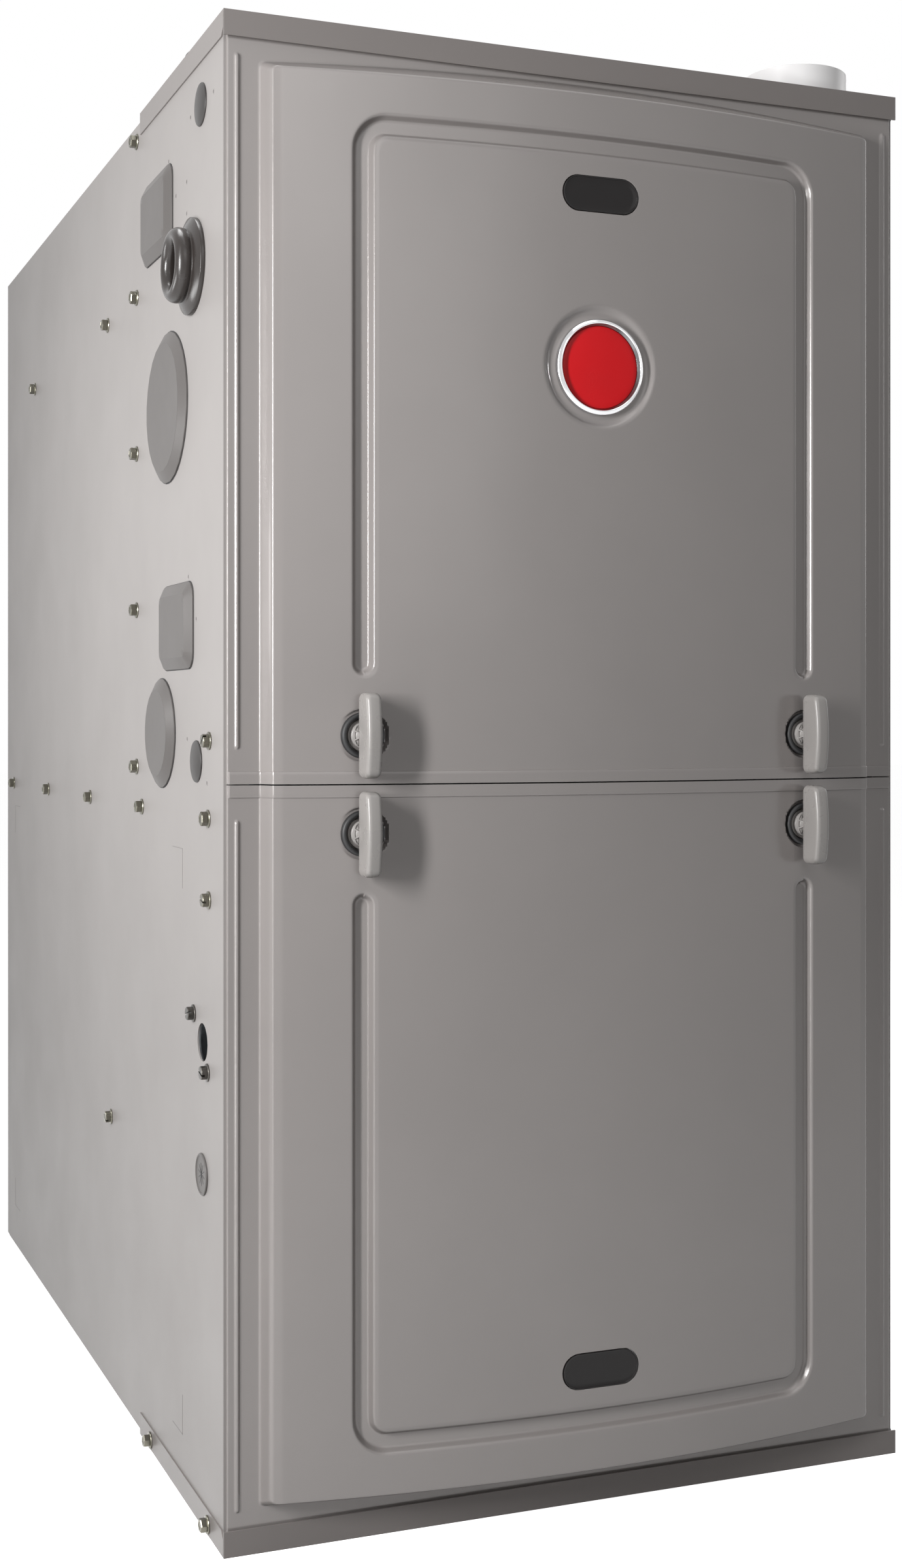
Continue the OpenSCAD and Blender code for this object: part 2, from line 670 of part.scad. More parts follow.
module inducer_motor() color([0.30, 0.31, 0.33]) translate([inducer_x, 0, inducer_z]) difference() {
    union() {
        rod_y(0, 0, 36, inducer_front - 52, inducer_front - 8);
        rod_y(0, 0, 40, inducer_front - 36, inducer_front - 20);
        for (a = [0:120:240]) rotate([0, a + 90, 0])
            span(24, 34, inducer_front - 10, inducer_front - seat, -5, 5);
        rod_y(0, 0, 12, inducer_front - 56, inducer_front - 50);
    }
    rod_y(0, 0, 4 + running, inducer_front - 28, inducer_front);
}

module pressure_switch() color([0.2, 0.2, 0.21]) {
    rod_y(-165, seam_z + 208, 35, vest_y - 22, vest_y - 8);
    rod_y(-165, seam_z + 208, 29, vest_y - 27, vest_y - 21);
    rod_y(-165, seam_z + 208, 26, vest_y - 9, vest_y - seat);
    rod_y(-165, seam_z + 208, 3, vest_y - 36, vest_y - 26);
}

// A quarter bend of a hose in the XY plane, from +X round to +Y
module hose_bend(bend, r) {
    rotate_extrude(angle = 90) translate([bend, 0]) circle(r = r);
}

// Hose from the pressure switch down and across to the inducer's nipple
module pressure_tube() color(dark_rubber) {
    bend = 12;
    r = 3.4;
    switch_z = seam_z + 208;
    cross_z = nipple_top + seat + bend + 6;
    rod_y(-165, switch_z, r, nipple_y + bend, vest_y - 36 - seat);
    translate([-165, nipple_y + bend, switch_z - bend]) rotate([90, 0, -90]) hose_bend(bend, r);
    rod_z(-165, nipple_y, r, cross_z + bend, switch_z - bend);
    translate([-165 + bend, nipple_y, cross_z + bend]) rotate([90, 180, 0]) hose_bend(bend, r);
    rod_x(nipple_y, cross_z, r, -165 + bend, inducer_x - 40 - bend);
    translate([inducer_x - 40 - bend, nipple_y, cross_z - bend]) rotate([90, 0, 0]) hose_bend(bend, r);
    rod_z(inducer_x - 40, nipple_y, r, nipple_top + seat, cross_z - bend);
}

// Elbow of the flue duct in its own XY plane: from +X round to -Y
module flue_elbow(r) {
    rotate_extrude(angle = 90) translate([flue_bend, 0]) circle(r = r);
}

module flue_path(r) {
    elbow_x = vent_x - flue_bend;
    elbow_y = flue_y - flue_bend;
    rod_x(flue_y, flue_z, r, flue_joint_x + seat, elbow_x);
    translate([elbow_x, elbow_y, flue_z]) flue_elbow(r);
    rod_y(vent_x, flue_z, r, vent_y + flue_bend, elbow_y);
    translate([vent_x, vent_y + flue_bend, flue_z + flue_bend]) rotate([0, 90, 0]) rotate([0, 0, 270])
        flue_elbow(r);
    rod_z(vent_x, vent_y, r, flue_z + flue_bend, flue_z + flue_bend + 40);
}

module vent_pipe() color([0.92, 0.92, 0.90]) {
    reducer_z = flue_z + flue_bend + 36;
    difference() {
        union() {
            flue_path(flue_d / 2);
            rod_x(flue_y, flue_z, flue_d / 2 + flue_collar, flue_joint_x - 10, flue_joint_x + 14);
            rod_z(vent_x, vent_y, socket_r, reducer_z, reducer_z + 34);
            rod_z(vent_x, vent_y, vent_r, reducer_z + 33, cabinet_h - 13);
        }
        flue_path(flue_d / 2 - flue_wall);
        rod_x(flue_y, flue_z, flue_d / 2 + seat, flue_joint_x - 11, flue_joint_x + seat);
        rod_x(flue_y, flue_z, flue_d / 2 - flue_wall, flue_joint_x - 1, flue_joint_x + 6);
        rod_z(vent_x, vent_y, vent_r - 3.5, reducer_z + 3, cabinet_h);
    }
}

// Vent socket on the cap: takes a vent pipe from above
module vent_socket() color([0.93, 0.93, 0.92]) difference() {
    rod_z(vent_x, vent_y, socket_r, cabinet_h - 28, vent_top);
    rod_z(vent_x, vent_y, vent_r + 0.1, cabinet_h - 29, cabinet_h - 12);
    rod_z(vent_x, vent_y, vent_r - 3.5, cabinet_h - 13, cabinet_h - 9);
    rod_z(vent_x, vent_y, vent_r + 0.15, cabinet_h - 10, vent_top + 1);
}

// Rubber collar on the cap for the combustion air pipe
module air_inlet_collar() color(dark_rubber) difference() {
    union() {
        rod_z(inlet_x, inlet_y, socket_r, cabinet_h - 10, vent_top);
        rod_z(inlet_x, inlet_y, socket_r + 4, cabinet_h + seat, cabinet_h + 3);
        rod_z(inlet_x, inlet_y, socket_r + 3, cabinet_h - 10, cabinet_h - sheet - seat);
    }
    rod_z(inlet_x, inlet_y, vent_r + 0.15, cabinet_h - 11, vent_top + 1);
}

module condensate_trap() color([0.2, 0.2, 0.21]) difference() {
    union() {
        span(-190, -140, vest_y - 120, vest_y - 60, deck_z + sheet + seat, deck_z + 38);
        rod_y(-165, deck_z + 14, 8, vest_y - 138, vest_y - 119);
    }
    span(-187, -143, vest_y - 117, vest_y - 63, deck_z + 4, deck_z + 35);
    rod_z(-165, vest_y - 102, 5, deck_z + 30, deck_z + 40);
    rod_y(-165, deck_z + 14, 5.5, vest_y - 139, vest_y - 110);
}

module drain_hose() color(dark_rubber) {
    z = seam_z + 38;
    run([[-130, collector_front - seat, z], [-130, collector_front - 22, z],
         [-165, vest_y - 102, z - 4], [-165, vest_y - 102, deck_z + 38 + seat]], 7);
}

// ---------- blower ----------

// Scroll outline in the YZ plane: four quarter arcs that grow round to the outlet
module scroll(inset) {
    circle(r = wheel_d / 4);
    for (q = [0:3]) translate(scroll_centre(q)) intersection() {
        circle(r = scroll_r[q] - inset);
        rotate(90 + 90 * q) translate([-eps, -eps]) square(2 * scroll_r[3]);
    }
}

// The scroll and its outlet neck, extruded from -half to +half along X
module blower_form(half, inset, top) {
    translate([-half, blower_y, blower_z]) rotate([90, 0, 90]) linear_extrude(2 * half) {
        scroll(inset);
        translate([neck_y0 - blower_y + inset, 0]) square([neck_y1 - neck_y0 - 2 * inset, top - blower_z]);
    }
}

module blower_housing() color(galvanised) {
    wrap_x = blower_side - sheet - seat;
    top = deck_z - seat - 2 * sheet - seat;
    difference() {
        blower_form(wrap_x, 0, top);
        blower_form(wrap_x + 1, sheet, deck_z + 10);
    }
    for (x = [-1, 1]) {
        difference() {
            translate([x * (blower_side - sheet / 2), 0, 0]) blower_form(sheet / 2, 0, top);
            rod_x(blower_y, blower_z, inlet_r, -blower_side - 2, blower_side + 2);
        }
        difference() {
            rod_x(blower_y, blower_z, inlet_r + 15, x * (blower_side + seat + 0.75) - 0.75,
                  x * (blower_side + seat + 0.75) + 0.75);
            rod_x(blower_y, blower_z, inlet_r, -blower_side - 5, blower_side + 5);
        }
    }
    difference() {
        span(-blower_side - 12, blower_side + 12, neck_y0 - 12, neck_y1 + 12, deck_z - seat - 2 * sheet,
             deck_z - seat);
        span(-blower_side + sheet, blower_side - sheet, neck_y0 + sheet, neck_y1 - sheet, deck_z - 10,
             deck_z + 5);
    }
}

// Double-inlet wheel: a middle disc on the shaft and a cage of blades on each side
module blower_wheel() color([0.66, 0.68, 0.70]) translate([0, blower_y, blower_z]) {
    r_out = wheel_d / 2;
    r_in = r_out - 20;
    cage_x = 1.5 + seat;
    both_walls() {
        difference() {
            rod_x(0, 0, r_out, wheel_w / 2 - 4, wheel_w / 2);
            rod_x(0, 0, r_in, wheel_w / 2 - 5, wheel_w / 2 + 1);
        }
        difference() {
            rod_x(0, 0, r_out - 1, cage_x, cage_x + 1.5);
            rod_x(0, 0, r_in + 1, cage_x - 1, cage_x + 3);
        }
        for (k = [0:blade_count - 1]) rotate([k * 360 / blade_count, 0, 0])
            translate([0, r_in, 0]) rotate([35, 0, 0]) translate([cage_x + 1, 0.5, -0.7])
                cube([wheel_w / 2 - cage_x - 2, 19, 1.4]);
    }
    rod_x(0, 0, r_out - 4, -1.5, 1.5);
    rod_x(0, 0, 22, -8, 20);
    rod_x(0, 0, shaft_d / 2, -12, 62);
}

module blower_motor() color([0.18, 0.19, 0.21]) translate([0, blower_y, blower_z]) difference() {
    union() {
        rod_x(0, 0, motor_d / 2, 30, blower_side + 34);
        rod_x(0, 0, 20, 24, 31);
        rod_x(0, 0, motor_d / 2 - 12, blower_side + 33, blower_side + 40);
    }
    rod_x(0, 0, shaft_d / 2 + running, 20, 66);
}

module motor_bracket() color(galvanised) translate([0, blower_y, blower_z]) {
    x0 = blower_side + 10;
    reach = inlet_r + 14;
    difference() {
        rod_x(0, 0, motor_d / 2 + seat + 2, x0, x0 + 16);
        rod_x(0, 0, motor_d / 2 + seat, x0 - 1, x0 + 17);
    }
    for (a = [30:120:270]) rotate([a, 0, 0]) {
        span(x0 + 4, x0 + 12, motor_d / 2 + 1, reach, -4, 4);
        span(blower_side + 1.5 + 2 * seat, x0 + 5, reach - 9, reach, -4, 4);
    }
}

// ---------- controls in the lower compartment ----------

module control_panel() color(galvanised) {
    span(-panel_x, panel_x, panel_y, panel_y + sheet, deck_z - 156, deck_z - seat);
    span(-panel_x, panel_x, panel_y, panel_y + 15, deck_z - sheet - seat, deck_z - seat);
    for (x = [-panel_x, panel_x - sheet])
        span(x, x + sheet, panel_y, panel_y + 15, deck_z - 156, deck_z - seat);
}

module control_board() color([0.10, 0.30, 0.16]) {
    y = panel_y - 8;
    for (x = [-54, 104], z = [board_z0 + 6, board_z0 + 119]) rod_y(x, z, 3, y, panel_y - seat);
    span(-60, 110, y - 1.6, y, board_z0, board_z0 + 125);
    for (k = [0:3]) span(-50 + k * 24, -32 + k * 24, y - 17, y - 1.5, board_z0 + 80, board_z0 + 104);
    for (k = [0:2]) span(60, 96, y - 14, y - 1.5, board_z0 + 14 + k * 34, board_z0 + 38 + k * 34);
    for (k = [0:2]) rod_y(-44 + k * 20, board_z0 + 54, 6, y - 22, y - 1.5);
    span(-52, 40, y - 11, y - 1.5, board_z0 + 8, board_z0 + 20);
    rod_y(46, board_z0 + 60, 2.5, y - 6, y - 1.5);
}

module transformer() color([0.35, 0.30, 0.24]) {
    span(-138, -74, panel_y - 40, panel_y - 12, deck_z - 96, deck_z - 40);
    rod_z(-106, panel_y - 26, 19, deck_z - 100, deck_z - 36);
    for (x = [-146, -74]) span(x, x + 8, panel_y - 12.5, panel_y - seat, deck_z - 78, deck_z - 58);
    span(-146, -66, panel_y - 14, panel_y - 11, deck_z - 78, deck_z - 58);
}

module junction_box() color(galvanised) difference() {
    span(-inner_x + seat, -inner_x + 50, rail_y, rail_y + 62, conduit[1] - 33, conduit[1] + 34);
    span(-inner_x + seat + sheet, -inner_x + 49, rail_y + 1, rail_y + 61, conduit[1] - 32, conduit[1] + 33);
    rod_x(conduit[0], conduit[1], conduit_d / 2 + 1, -inner_x - 1, -inner_x + 5);
    wall_holes(junction_screws, 2);
    rod_x(rail_y + 31, conduit[1], 11, -inner_x + 45, -inner_x + 55);
}

module door_switch() color([0.15, 0.15, 0.16]) difference() {
    union() {
        span(switch_x - 9, switch_x + 9, panel_y - 42, panel_y - 12, switch_z - 12, switch_z + 12);
        span(switch_x - 6, switch_x + 6, panel_y - 13, panel_y - seat, switch_z - 10, switch_z + 10);
    }
    rod_y(switch_x, switch_z, 3 + running, panel_y - 43, panel_y - 20);
}

module switch_plunger() color([0.9, 0.9, 0.88])
    rod_y(switch_x, switch_z, 3, liner_rear + free_gap, panel_y - 26);

// ---------- side wall fittings ----------

// Round cover on the left wall: bevelled face, boss through the hole
module round_cover(d, spot) {
    r = d / 2;
    translate([-wall_x, spot[0], spot[1]]) rotate([0, -90, 0]) {
        translate([0, 0, seat / 2]) cylinder(h = 1, r = r);
        translate([0, 0, seat / 2 + 1]) cylinder(h = cover_proud - 1, r1 = r, r2 = r - 6);
        difference() {
            translate([0, 0, -6]) cylinder(h = 6 + seat, r = r - cover_lap - seat);
            translate([0, 0, -7]) cylinder(h = 6, r = r - cover_lap - 2);
        }
    }
}

module round_covers() color(cover_grey) both_walls() {
    round_cover(big_cover_d, big_cover);
    round_cover(small_cover_d, small_cover);
}

// Rounded-rectangle cover on the left wall with mitred bevels
module hatch_cover(spot) {
    bevel = 7;
    translate([-wall_x, spot[0], spot[1]]) {
        intersection() {
            translate([-seat / 2, 0, 0]) rotate([0, -90, 0]) linear_extrude(cover_proud)
                rounded(hatch_h, hatch_w, 9);
            translate([0, 0, -hatch_h]) linear_extrude(2 * hatch_h)
                polygon([[0, -hatch_w / 2], [-1, -hatch_w / 2], [-cover_proud - seat, -hatch_w / 2 + bevel],
                         [-cover_proud - seat, hatch_w / 2 - bevel], [-1, hatch_w / 2], [0, hatch_w / 2]]);
            translate([0, hatch_w, 0]) rotate([90, 0, 0]) linear_extrude(2 * hatch_w)
                polygon([[0, -hatch_h / 2], [-1, -hatch_h / 2], [-cover_proud - seat, -hatch_h / 2 + bevel],
                         [-cover_proud - seat, hatch_h / 2 - bevel], [-1, hatch_h / 2], [0, hatch_h / 2]]);
        }
        difference() {
            span(-seat, 6, -hatch_w / 2 + cover_lap + seat, hatch_w / 2 - cover_lap - seat,
                 -hatch_h / 2 + cover_lap + seat, hatch_h / 2 - cover_lap - seat);
            span(0, 7, -hatch_w / 2 + cover_lap + 2, hatch_w / 2 - cover_lap - 2,
                 -hatch_h / 2 + cover_lap + 2, hatch_h / 2 - cover_lap - 2);
        }
    }
}

module hatch_covers() color(cover_grey) both_walls() {
    hatch_cover(hatch_up);
    hatch_cover(hatch_low);
}

module knockout_plugs() color(cover_grey) both_walls()
    for (s = [knockout_top, knockout_low]) translate([-wall_x, s[0], s[1]]) rotate([0, -90, 0]) {
        intersection() {
            translate([0, 0, seat / 2]) cylinder(h = 4, r = knockout_r);
            translate([0, 0, seat / 2 + 2 - 40]) sphere(r = 40, $fn = 128);
        }
        translate([0, 0, -4]) cylinder(h = 4 + 2 * seat, r = knockout_r - 2 - seat);
    }

module cable_grommets() color(cover_grey) both_walls()
    translate([-wall_x, cable_hole[0], cable_hole[1]]) rotate([0, -90, 0]) difference() {
        union() {
            translate([0, 0, seat / 2]) cylinder(h = 1.2, r = cable_r);
            translate([0, 0, -3]) cylinder(h = 3 + 2 * seat, r = cable_r - 1.5 - seat);
        }
        translate([0, 0, -5]) cylinder(h = 5, r = cable_r - 3);
        for (a = [0:45:135]) rotate([0, 0, a]) translate([-7, -0.15, -1]) cube([14, 0.3, 4]);
    }

module side_grommet() color([0.30, 0.29, 0.28])
    translate([-wall_x, gas_hole[0], gas_hole[1]]) rotate([0, -90, 0]) difference() {
        lip_r = 4.6;
        neck_r = grommet_d / 2 - 6.3;
        union() {
            translate([0, 0, seat / 2]) cylinder(h = 3, r = grommet_d / 2);
            translate([0, 0, -6]) cylinder(h = 16.5, r = neck_r - seat);
            rotate_extrude() translate([neck_r - seat - lip_r, 10.5]) circle(r = lip_r);
            translate([0, 0, -6]) cylinder(h = 6 - sheet - seat, r = neck_r + 2);
        }
        translate([0, 0, -7]) cylinder(h = 30, r = neck_r - seat - 2 * lip_r);
        translate([0, 0, 10.5]) difference() {
            cylinder(h = 10, r = neck_r - seat - lip_r);
            rotate_extrude() translate([neck_r - seat - lip_r, 0]) circle(r = lip_r);
        }
    }

// Hex washer head screw on the left wall, at a distance off the wall plane
module hex_screw(spot, off = 0) {
    translate([-wall_x - off - seat / 2, spot[0], spot[1]]) rotate([0, -90, 0]) {
        cylinder(h = 1, r = 5.2);
        cylinder(h = 5, r = 4.1, $fn = 6);
        translate([0, 0, -4]) cylinder(h = 4.5, r = 1.8);
    }
}

// Slotted washer head screw on the left wall
module slotted_screw(spot) {
    translate([-wall_x - seat / 2, spot[0], spot[1]]) rotate([0, -90, 0]) {
        cylinder(h = 1, r = 5.2);
        difference() {
            cylinder(h = 4.6, r = 3.9);
            translate([-5, -0.6, 2.6]) cube([10, 1.2, 3]);
        }
        translate([0, 0, -4]) cylinder(h = 4.5, r = 1.8);
    }
}

// Hex and slotted screws in both side walls
module panel_screws() color(zinc) {
    both_walls() {
        for (s = concat(column_spots, row_spots, hx_spots)) hex_screw(s);
        for (s = base_spots) hex_screw(s, sheet);
        for (s = slotted_spots) slotted_screw(s);
    }
    for (s = junction_screws) slotted_screw(s);
}

// ---------- doors ----------
// A door is drawn in its own frame: u is the distance from the seam edge
// towards the hooked edge and runs along +Z; the lower door is mirrored.

// Plan of the raised field: a bow between two side slopes
module field_plan(inset, rear) {
    hx = field_hx - inset / 2;
    intersection() {
        translate([0, bow_cy]) circle(r = bow_r, $fn = 720);
        polygon([[-hx, rear], [-hx, door_front], [-hx + slope_run, door_front - slope_reach],
                 [hx - slope_run, door_front - slope_reach], [hx, door_front], [hx, rear]]);
    }
}

// Bowed body that ends in a cone, so the field slopes back to its toe
module bowed_body(crease, toe, inset) {
    translate([0, bow_cy, inset]) cylinder(h = crease - inset / 2 - inset, r = bow_r, $fn = 720);
    translate([0, bow_cy, crease - inset / 2])
        cylinder(h = toe - inset / 2 - crease, r1 = bow_r, r2 = bow_r - crown, $fn = 720);
}

// Groove outline on the door's face: an arch with two limbs
module groove_outline(grow) {
    r_end = groove_w / 2 + grow;
    end_u = 60.6 + groove_w / 2;
    outer_h = groove_len + grow - end_u;
    difference() {
        translate([0, end_u + outer_h / 2]) rounded(2 * groove_x + groove_w + 2 * grow, outer_h, 21);
        translate([0, end_u + (outer_h - groove_w - 2 * grow) / 2 - 30])
            rounded(2 * groove_x - groove_w - 2 * grow, outer_h - groove_w - 2 * grow + 60, 7);
    }
    for (x = [-groove_x, groove_x]) {
        translate([x, end_u]) circle(r = r_end);
        translate([x - r_end, end_u]) square([2 * r_end, 30]);
    }
}

module groove_cut(grow) {
    difference() {
        translate([0, pan_rear, 0]) rotate([90, 0, 0]) linear_extrude(pan_rear - crown_y + 20)
            groove_outline(grow);
        translate([0, bow_cy, -1]) cylinder(h = big / 2, r = bow_r - groove_depth, $fn = 720);
    }
}

// Everything that is pressed into the field
module pressings(grow, badge_u) {
    groove_cut(grow);
    for (x = [-latch_x, latch_x]) rod_y(x, latch_len, ring_d / 2 + 1.5 + grow, crown_y - 20, flat_y);
    if (badge_u > 0) translate([0, crown_y - eps, badge_u]) rotate([-90, 0, 0])
        cylinder(h = 3, r1 = badge_d / 2 + 7.7 + grow, r2 = badge_d / 2 + 2.7 + grow);
}

// Solid form whose front is the door's face; two of them make the skin
module door_form(crease, toe, pan_end, inset, badge_u) {
    rear = inset > 0 ? pan_rear + 5 : pan_rear;
    span(-pan_hx + inset, pan_hx - inset, door_front, rear, inset, pan_end - inset);
    difference() {
        intersection() {
            translate([0, 0, inset]) linear_extrude(toe) field_plan(inset, door_front + sheet / 2);
            bowed_body(crease, toe, inset);
        }
        pressings(inset, badge_u);
    }
}

// Lip along the seam: follows the bow, then the flat border
module seam_lip() {
    linear_extrude(lip_h) difference() {
        union() {
            intersection() {
                translate([0, bow_cy]) circle(r = bow_r + lip_proud, $fn = 720);
                translate([0, -lip_proud]) field_lip_polygon();
            }
            translate([-door_hx + 1, door_front - lip_proud]) square([2 * door_hx - 2, sheet + lip_proud]);
        }
        translate([0, sheet]) field_plan(sheet, door_front + pan_depth);
    }
}

module field_lip_polygon() {
    polygon([[-field_hx, door_front + sheet], [-field_hx, door_front],
             [-field_hx + slope_run, door_front - slope_reach],
             [field_hx - slope_run, door_front - slope_reach], [field_hx, door_front],
             [field_hx, door_front + sheet]]);
}

// Rib pressed outwards in the flat border
module border_rib(x, u0, u1) {
    intersection() {
        union() {
            rod_z(x, door_front + 0.9, 2.4, u0, u1);
            for (u = [u0, u1]) translate([x, door_front + 0.9, u]) sphere(r = 2.4);
        }
        span(x - 4, x + 4, door_front - 5, door_front + sheet / 2, u0 - 5, u1 + 5);
    }
}

module door_skin(crease, toe, border_end, tongue_end, badge_u) {
    pan_end = toe;
    difference() {
        union() {
            span(-door_hx, door_hx, door_front, door_front + sheet, 0, border_end);
            span(-pan_hx + 1, pan_hx - 1, door_front, door_front + sheet, border_end - eps, tongue_end);
            door_form(crease, toe, pan_end, 0, badge_u);
            seam_lip();
            for (x = [-door_hx + 4, door_hx - 4]) border_rib(x, 21, border_end - 12);
        }
        translate([0, sheet, 0]) door_form(crease, toe, pan_end, sheet, badge_u);
        translate([0, pan_rear, sight_len]) rotate([90, 0, 0]) linear_extrude(60)
            rounded(sight_w, sight_h, sight_h / 2 - eps);
        for (x = [-latch_x, latch_x]) rod_y(x, latch_len, bush_r + seat, crown_y - 10, pan_rear);
    }
}

// Insulation liner: fills the bow behind the groove's floor
module door_liner(end_u) {
    difference() {
        intersection() {
            translate([0, bow_cy, 18])
                cylinder(h = end_u - 18, r = bow_r - groove_depth - sheet - seat, $fn = 720);
            span(-field_hx + 16, field_hx - 16, crown_y, liner_rear, 18, end_u);
        }
        for (x = [-latch_x, latch_x]) rod_y(x, latch_len, 18, crown_y - 5, liner_rear + 5);
        translate([0, liner_rear + 5, sight_len]) rotate([90, 0, 0]) linear_extrude(60)
            rounded(sight_w + 14, sight_h + 14, 12);
    }
}

module sight_glass() {
    translate([0, 0, sight_len]) rotate([90, 0, 0]) {
        translate([0, 0, -crown_y - 1.7]) linear_extrude(1.3)
            rounded(sight_w - 2 * seat, sight_h - 2 * seat, sight_h / 2 - seat - eps);
        translate([0, 0, -crown_y - 3.2]) linear_extrude(1.5 + eps) rounded(sight_w + 8, sight_h + 8, 10);
    }
}

// Rubber ring and stem bush of one latch, on the door
module latch_ring(x) {
    translate([x, flat_y, latch_len]) rotate([90, 0, 0]) rotate_extrude() {
        translate([ring_d / 2 - 3.2, 0]) difference() {
            union() {
                square([3.2, ring_t - 1.6]);
                translate([1.6, ring_t - 1.6]) circle(r = 1.6);
            }
        }
    }
    translate([x, flat_y, latch_len]) rotate([90, 0, 0]) rotate_extrude() {
        translate([stem_r + running, seat / 2]) square([9 - stem_r - running, bush_flange_t - seat / 2]);
        translate([stem_r + running, -sheet - 1.8]) square([bush_r - stem_r - running, sheet + 2.5]);
        translate([stem_r + running, -sheet - 1.8]) square([bush_r + 1.4 - stem_r - running, 1.8 - seat]);
    }
}

module door_latch_rings() {
    for (x = [-latch_x, latch_x]) latch_ring(x);
}

// Latch: arched handle, conical hub and stem, about an axis along Y
module latch() {
    arch_r = (pow(handle_l / 2, 2) + pow(handle_arch, 2)) / (2 * handle_arch);
    deep = handle_d + handle_arch;
    translate([0, handle_rear, 0]) {
        intersection() {
            translate([-handle_w / 2, 0, 0]) rotate([90, 0, 90]) linear_extrude(handle_w) intersection() {
                translate([-deep / 2, 0]) rounded(deep, handle_l, 4);
                translate([-deep + arch_r, 0]) circle(r = arch_r, $fn = 256);
            }
            translate([0, 1, 0]) rotate([90, 0, 0]) linear_extrude(deep + 2) rounded(handle_w, handle_l, 3.2);
            translate([0, -deep / 2, -handle_l]) linear_extrude(2 * handle_l) rounded(handle_w, deep, 2);
        }
    }
    translate([0, handle_rear, 0]) rotate([-90, 0, 0]) {
        cylinder(h = 1.5, r1 = 4.6, r2 = 4.6);
        translate([0, 0, 1.5 - eps]) cylinder(h = 1.8, r1 = 4.6, r2 = hub_r);
        translate([0, 0, 3.3 - eps]) cylinder(h = 1.1, r = hub_r);
    }
    rod_y(0, 0, stem_r, handle_rear, flat_y + sheet + 4);
    rod_y(0, 0, stem_r + 2, flat_y + sheet + 2.1, flat_y + sheet + 3.6);
    intersection() {
        rod_y(0, 0, stem_r, flat_y + sheet + 3, stem_end);
        span(-stem_r, stem_r, handle_rear, stem_end, -stem_r * 0.75, stem_r * 0.75);
    }
}

badge_u = sight_len - 101;

module upper_frame() {
    translate([0, 0, upper_seam]) children();
}

module lower_frame() {
    translate([0, 0, lower_seam]) mirror([0, 0, 1]) children();
}

module upper_door() color(door_grey) upper_frame()
    door_skin(field_len, upper_toe, upper_hinge_z - 1 - upper_seam, casing_top - 2 - upper_seam, badge_u);

module lower_door() color(door_grey) lower_frame()
    door_skin(field_len, lower_toe, lower_seam - lower_hinge_z - 1, lower_seam - 4, 0);

module upper_door_liner() color([0.80, 0.80, 0.82]) upper_frame() door_liner(field_len - 6);

module lower_door_liner() color([0.80, 0.80, 0.82]) lower_frame() door_liner(field_len - 6);

module upper_sight_glass() color([0.12, 0.12, 0.12]) upper_frame() sight_glass();

module lower_sight_glass() color([0.12, 0.12, 0.12]) lower_frame() sight_glass();

module upper_latch_rings() color(dark_rubber) upper_frame() door_latch_rings();

module lower_latch_rings() color(dark_rubber) lower_frame() door_latch_rings();

// Bezel ring and domed disc, left bare
module badge() upper_frame() translate([0, crown_y + 3 - seat / 2, badge_u]) rotate([90, 0, 0]) {
    r = badge_d / 2;
    color([0.85, 0.85, 0.86]) rotate_extrude() {
        translate([r - 4.2, 0]) square([4.2, 2.1]);
        translate([r - 2.1, 2.1]) circle(r = 2.1);
    }
    color([0.6, 0.08, 0.1]) intersection() {
        cylinder(h = 3, r = r - 4.2 - seat);
        translate([0, 0, 2.6 - 250]) sphere(r = 250, $fn = 360);
    }
}

module upper_left_latch() color([0.78, 0.77, 0.75]) upper_frame() translate([-latch_x, 0, latch_len]) latch();

module upper_right_latch() color([0.78, 0.77, 0.75]) upper_frame() translate([latch_x, 0, latch_len]) latch();

module lower_left_latch() color([0.78, 0.77, 0.75]) lower_frame() translate([-latch_x, 0, latch_len]) latch();

module lower_right_latch() color([0.78, 0.77, 0.75]) lower_frame() translate([latch_x, 0, latch_len]) latch();

casing_wrap();
side_walls();
top_cap();
base_rail();
center_rail();
blower_deck();
vestibule_panel();
primary_heat_exchanger();
secondary_coil();
collector_box();
burner_box();
burners();
gas_manifold();
gas_valve();
igniter();
flame_sensor();
inducer_housing();
inducer_motor();
pressure_switch();
pressure_tube();
vent_pipe();
vent_socket();
air_inlet_collar();
side_grommet();
condensate_trap();
drain_hose();
blower_housing();
blower_motor();
motor_bracket();
control_panel();
control_board();
transformer();
junction_box();
door_switch();
limit_switch();
rollout_switch();
latch_keepers();
round_covers();
hatch_covers();
knockout_plugs();
cable_grommets();
panel_screws();
upper_door();
upper_door_liner();
upper_sight_glass();
badge();
upper_latch_rings();
lower_door();
lower_door_liner();
lower_sight_glass();
lower_latch_rings();
upper_left_latch();
upper_right_latch();
lower_left_latch();
lower_right_latch();
gas_knob();
inducer_wheel();
blower_wheel();
switch_plunger();
reset_button();
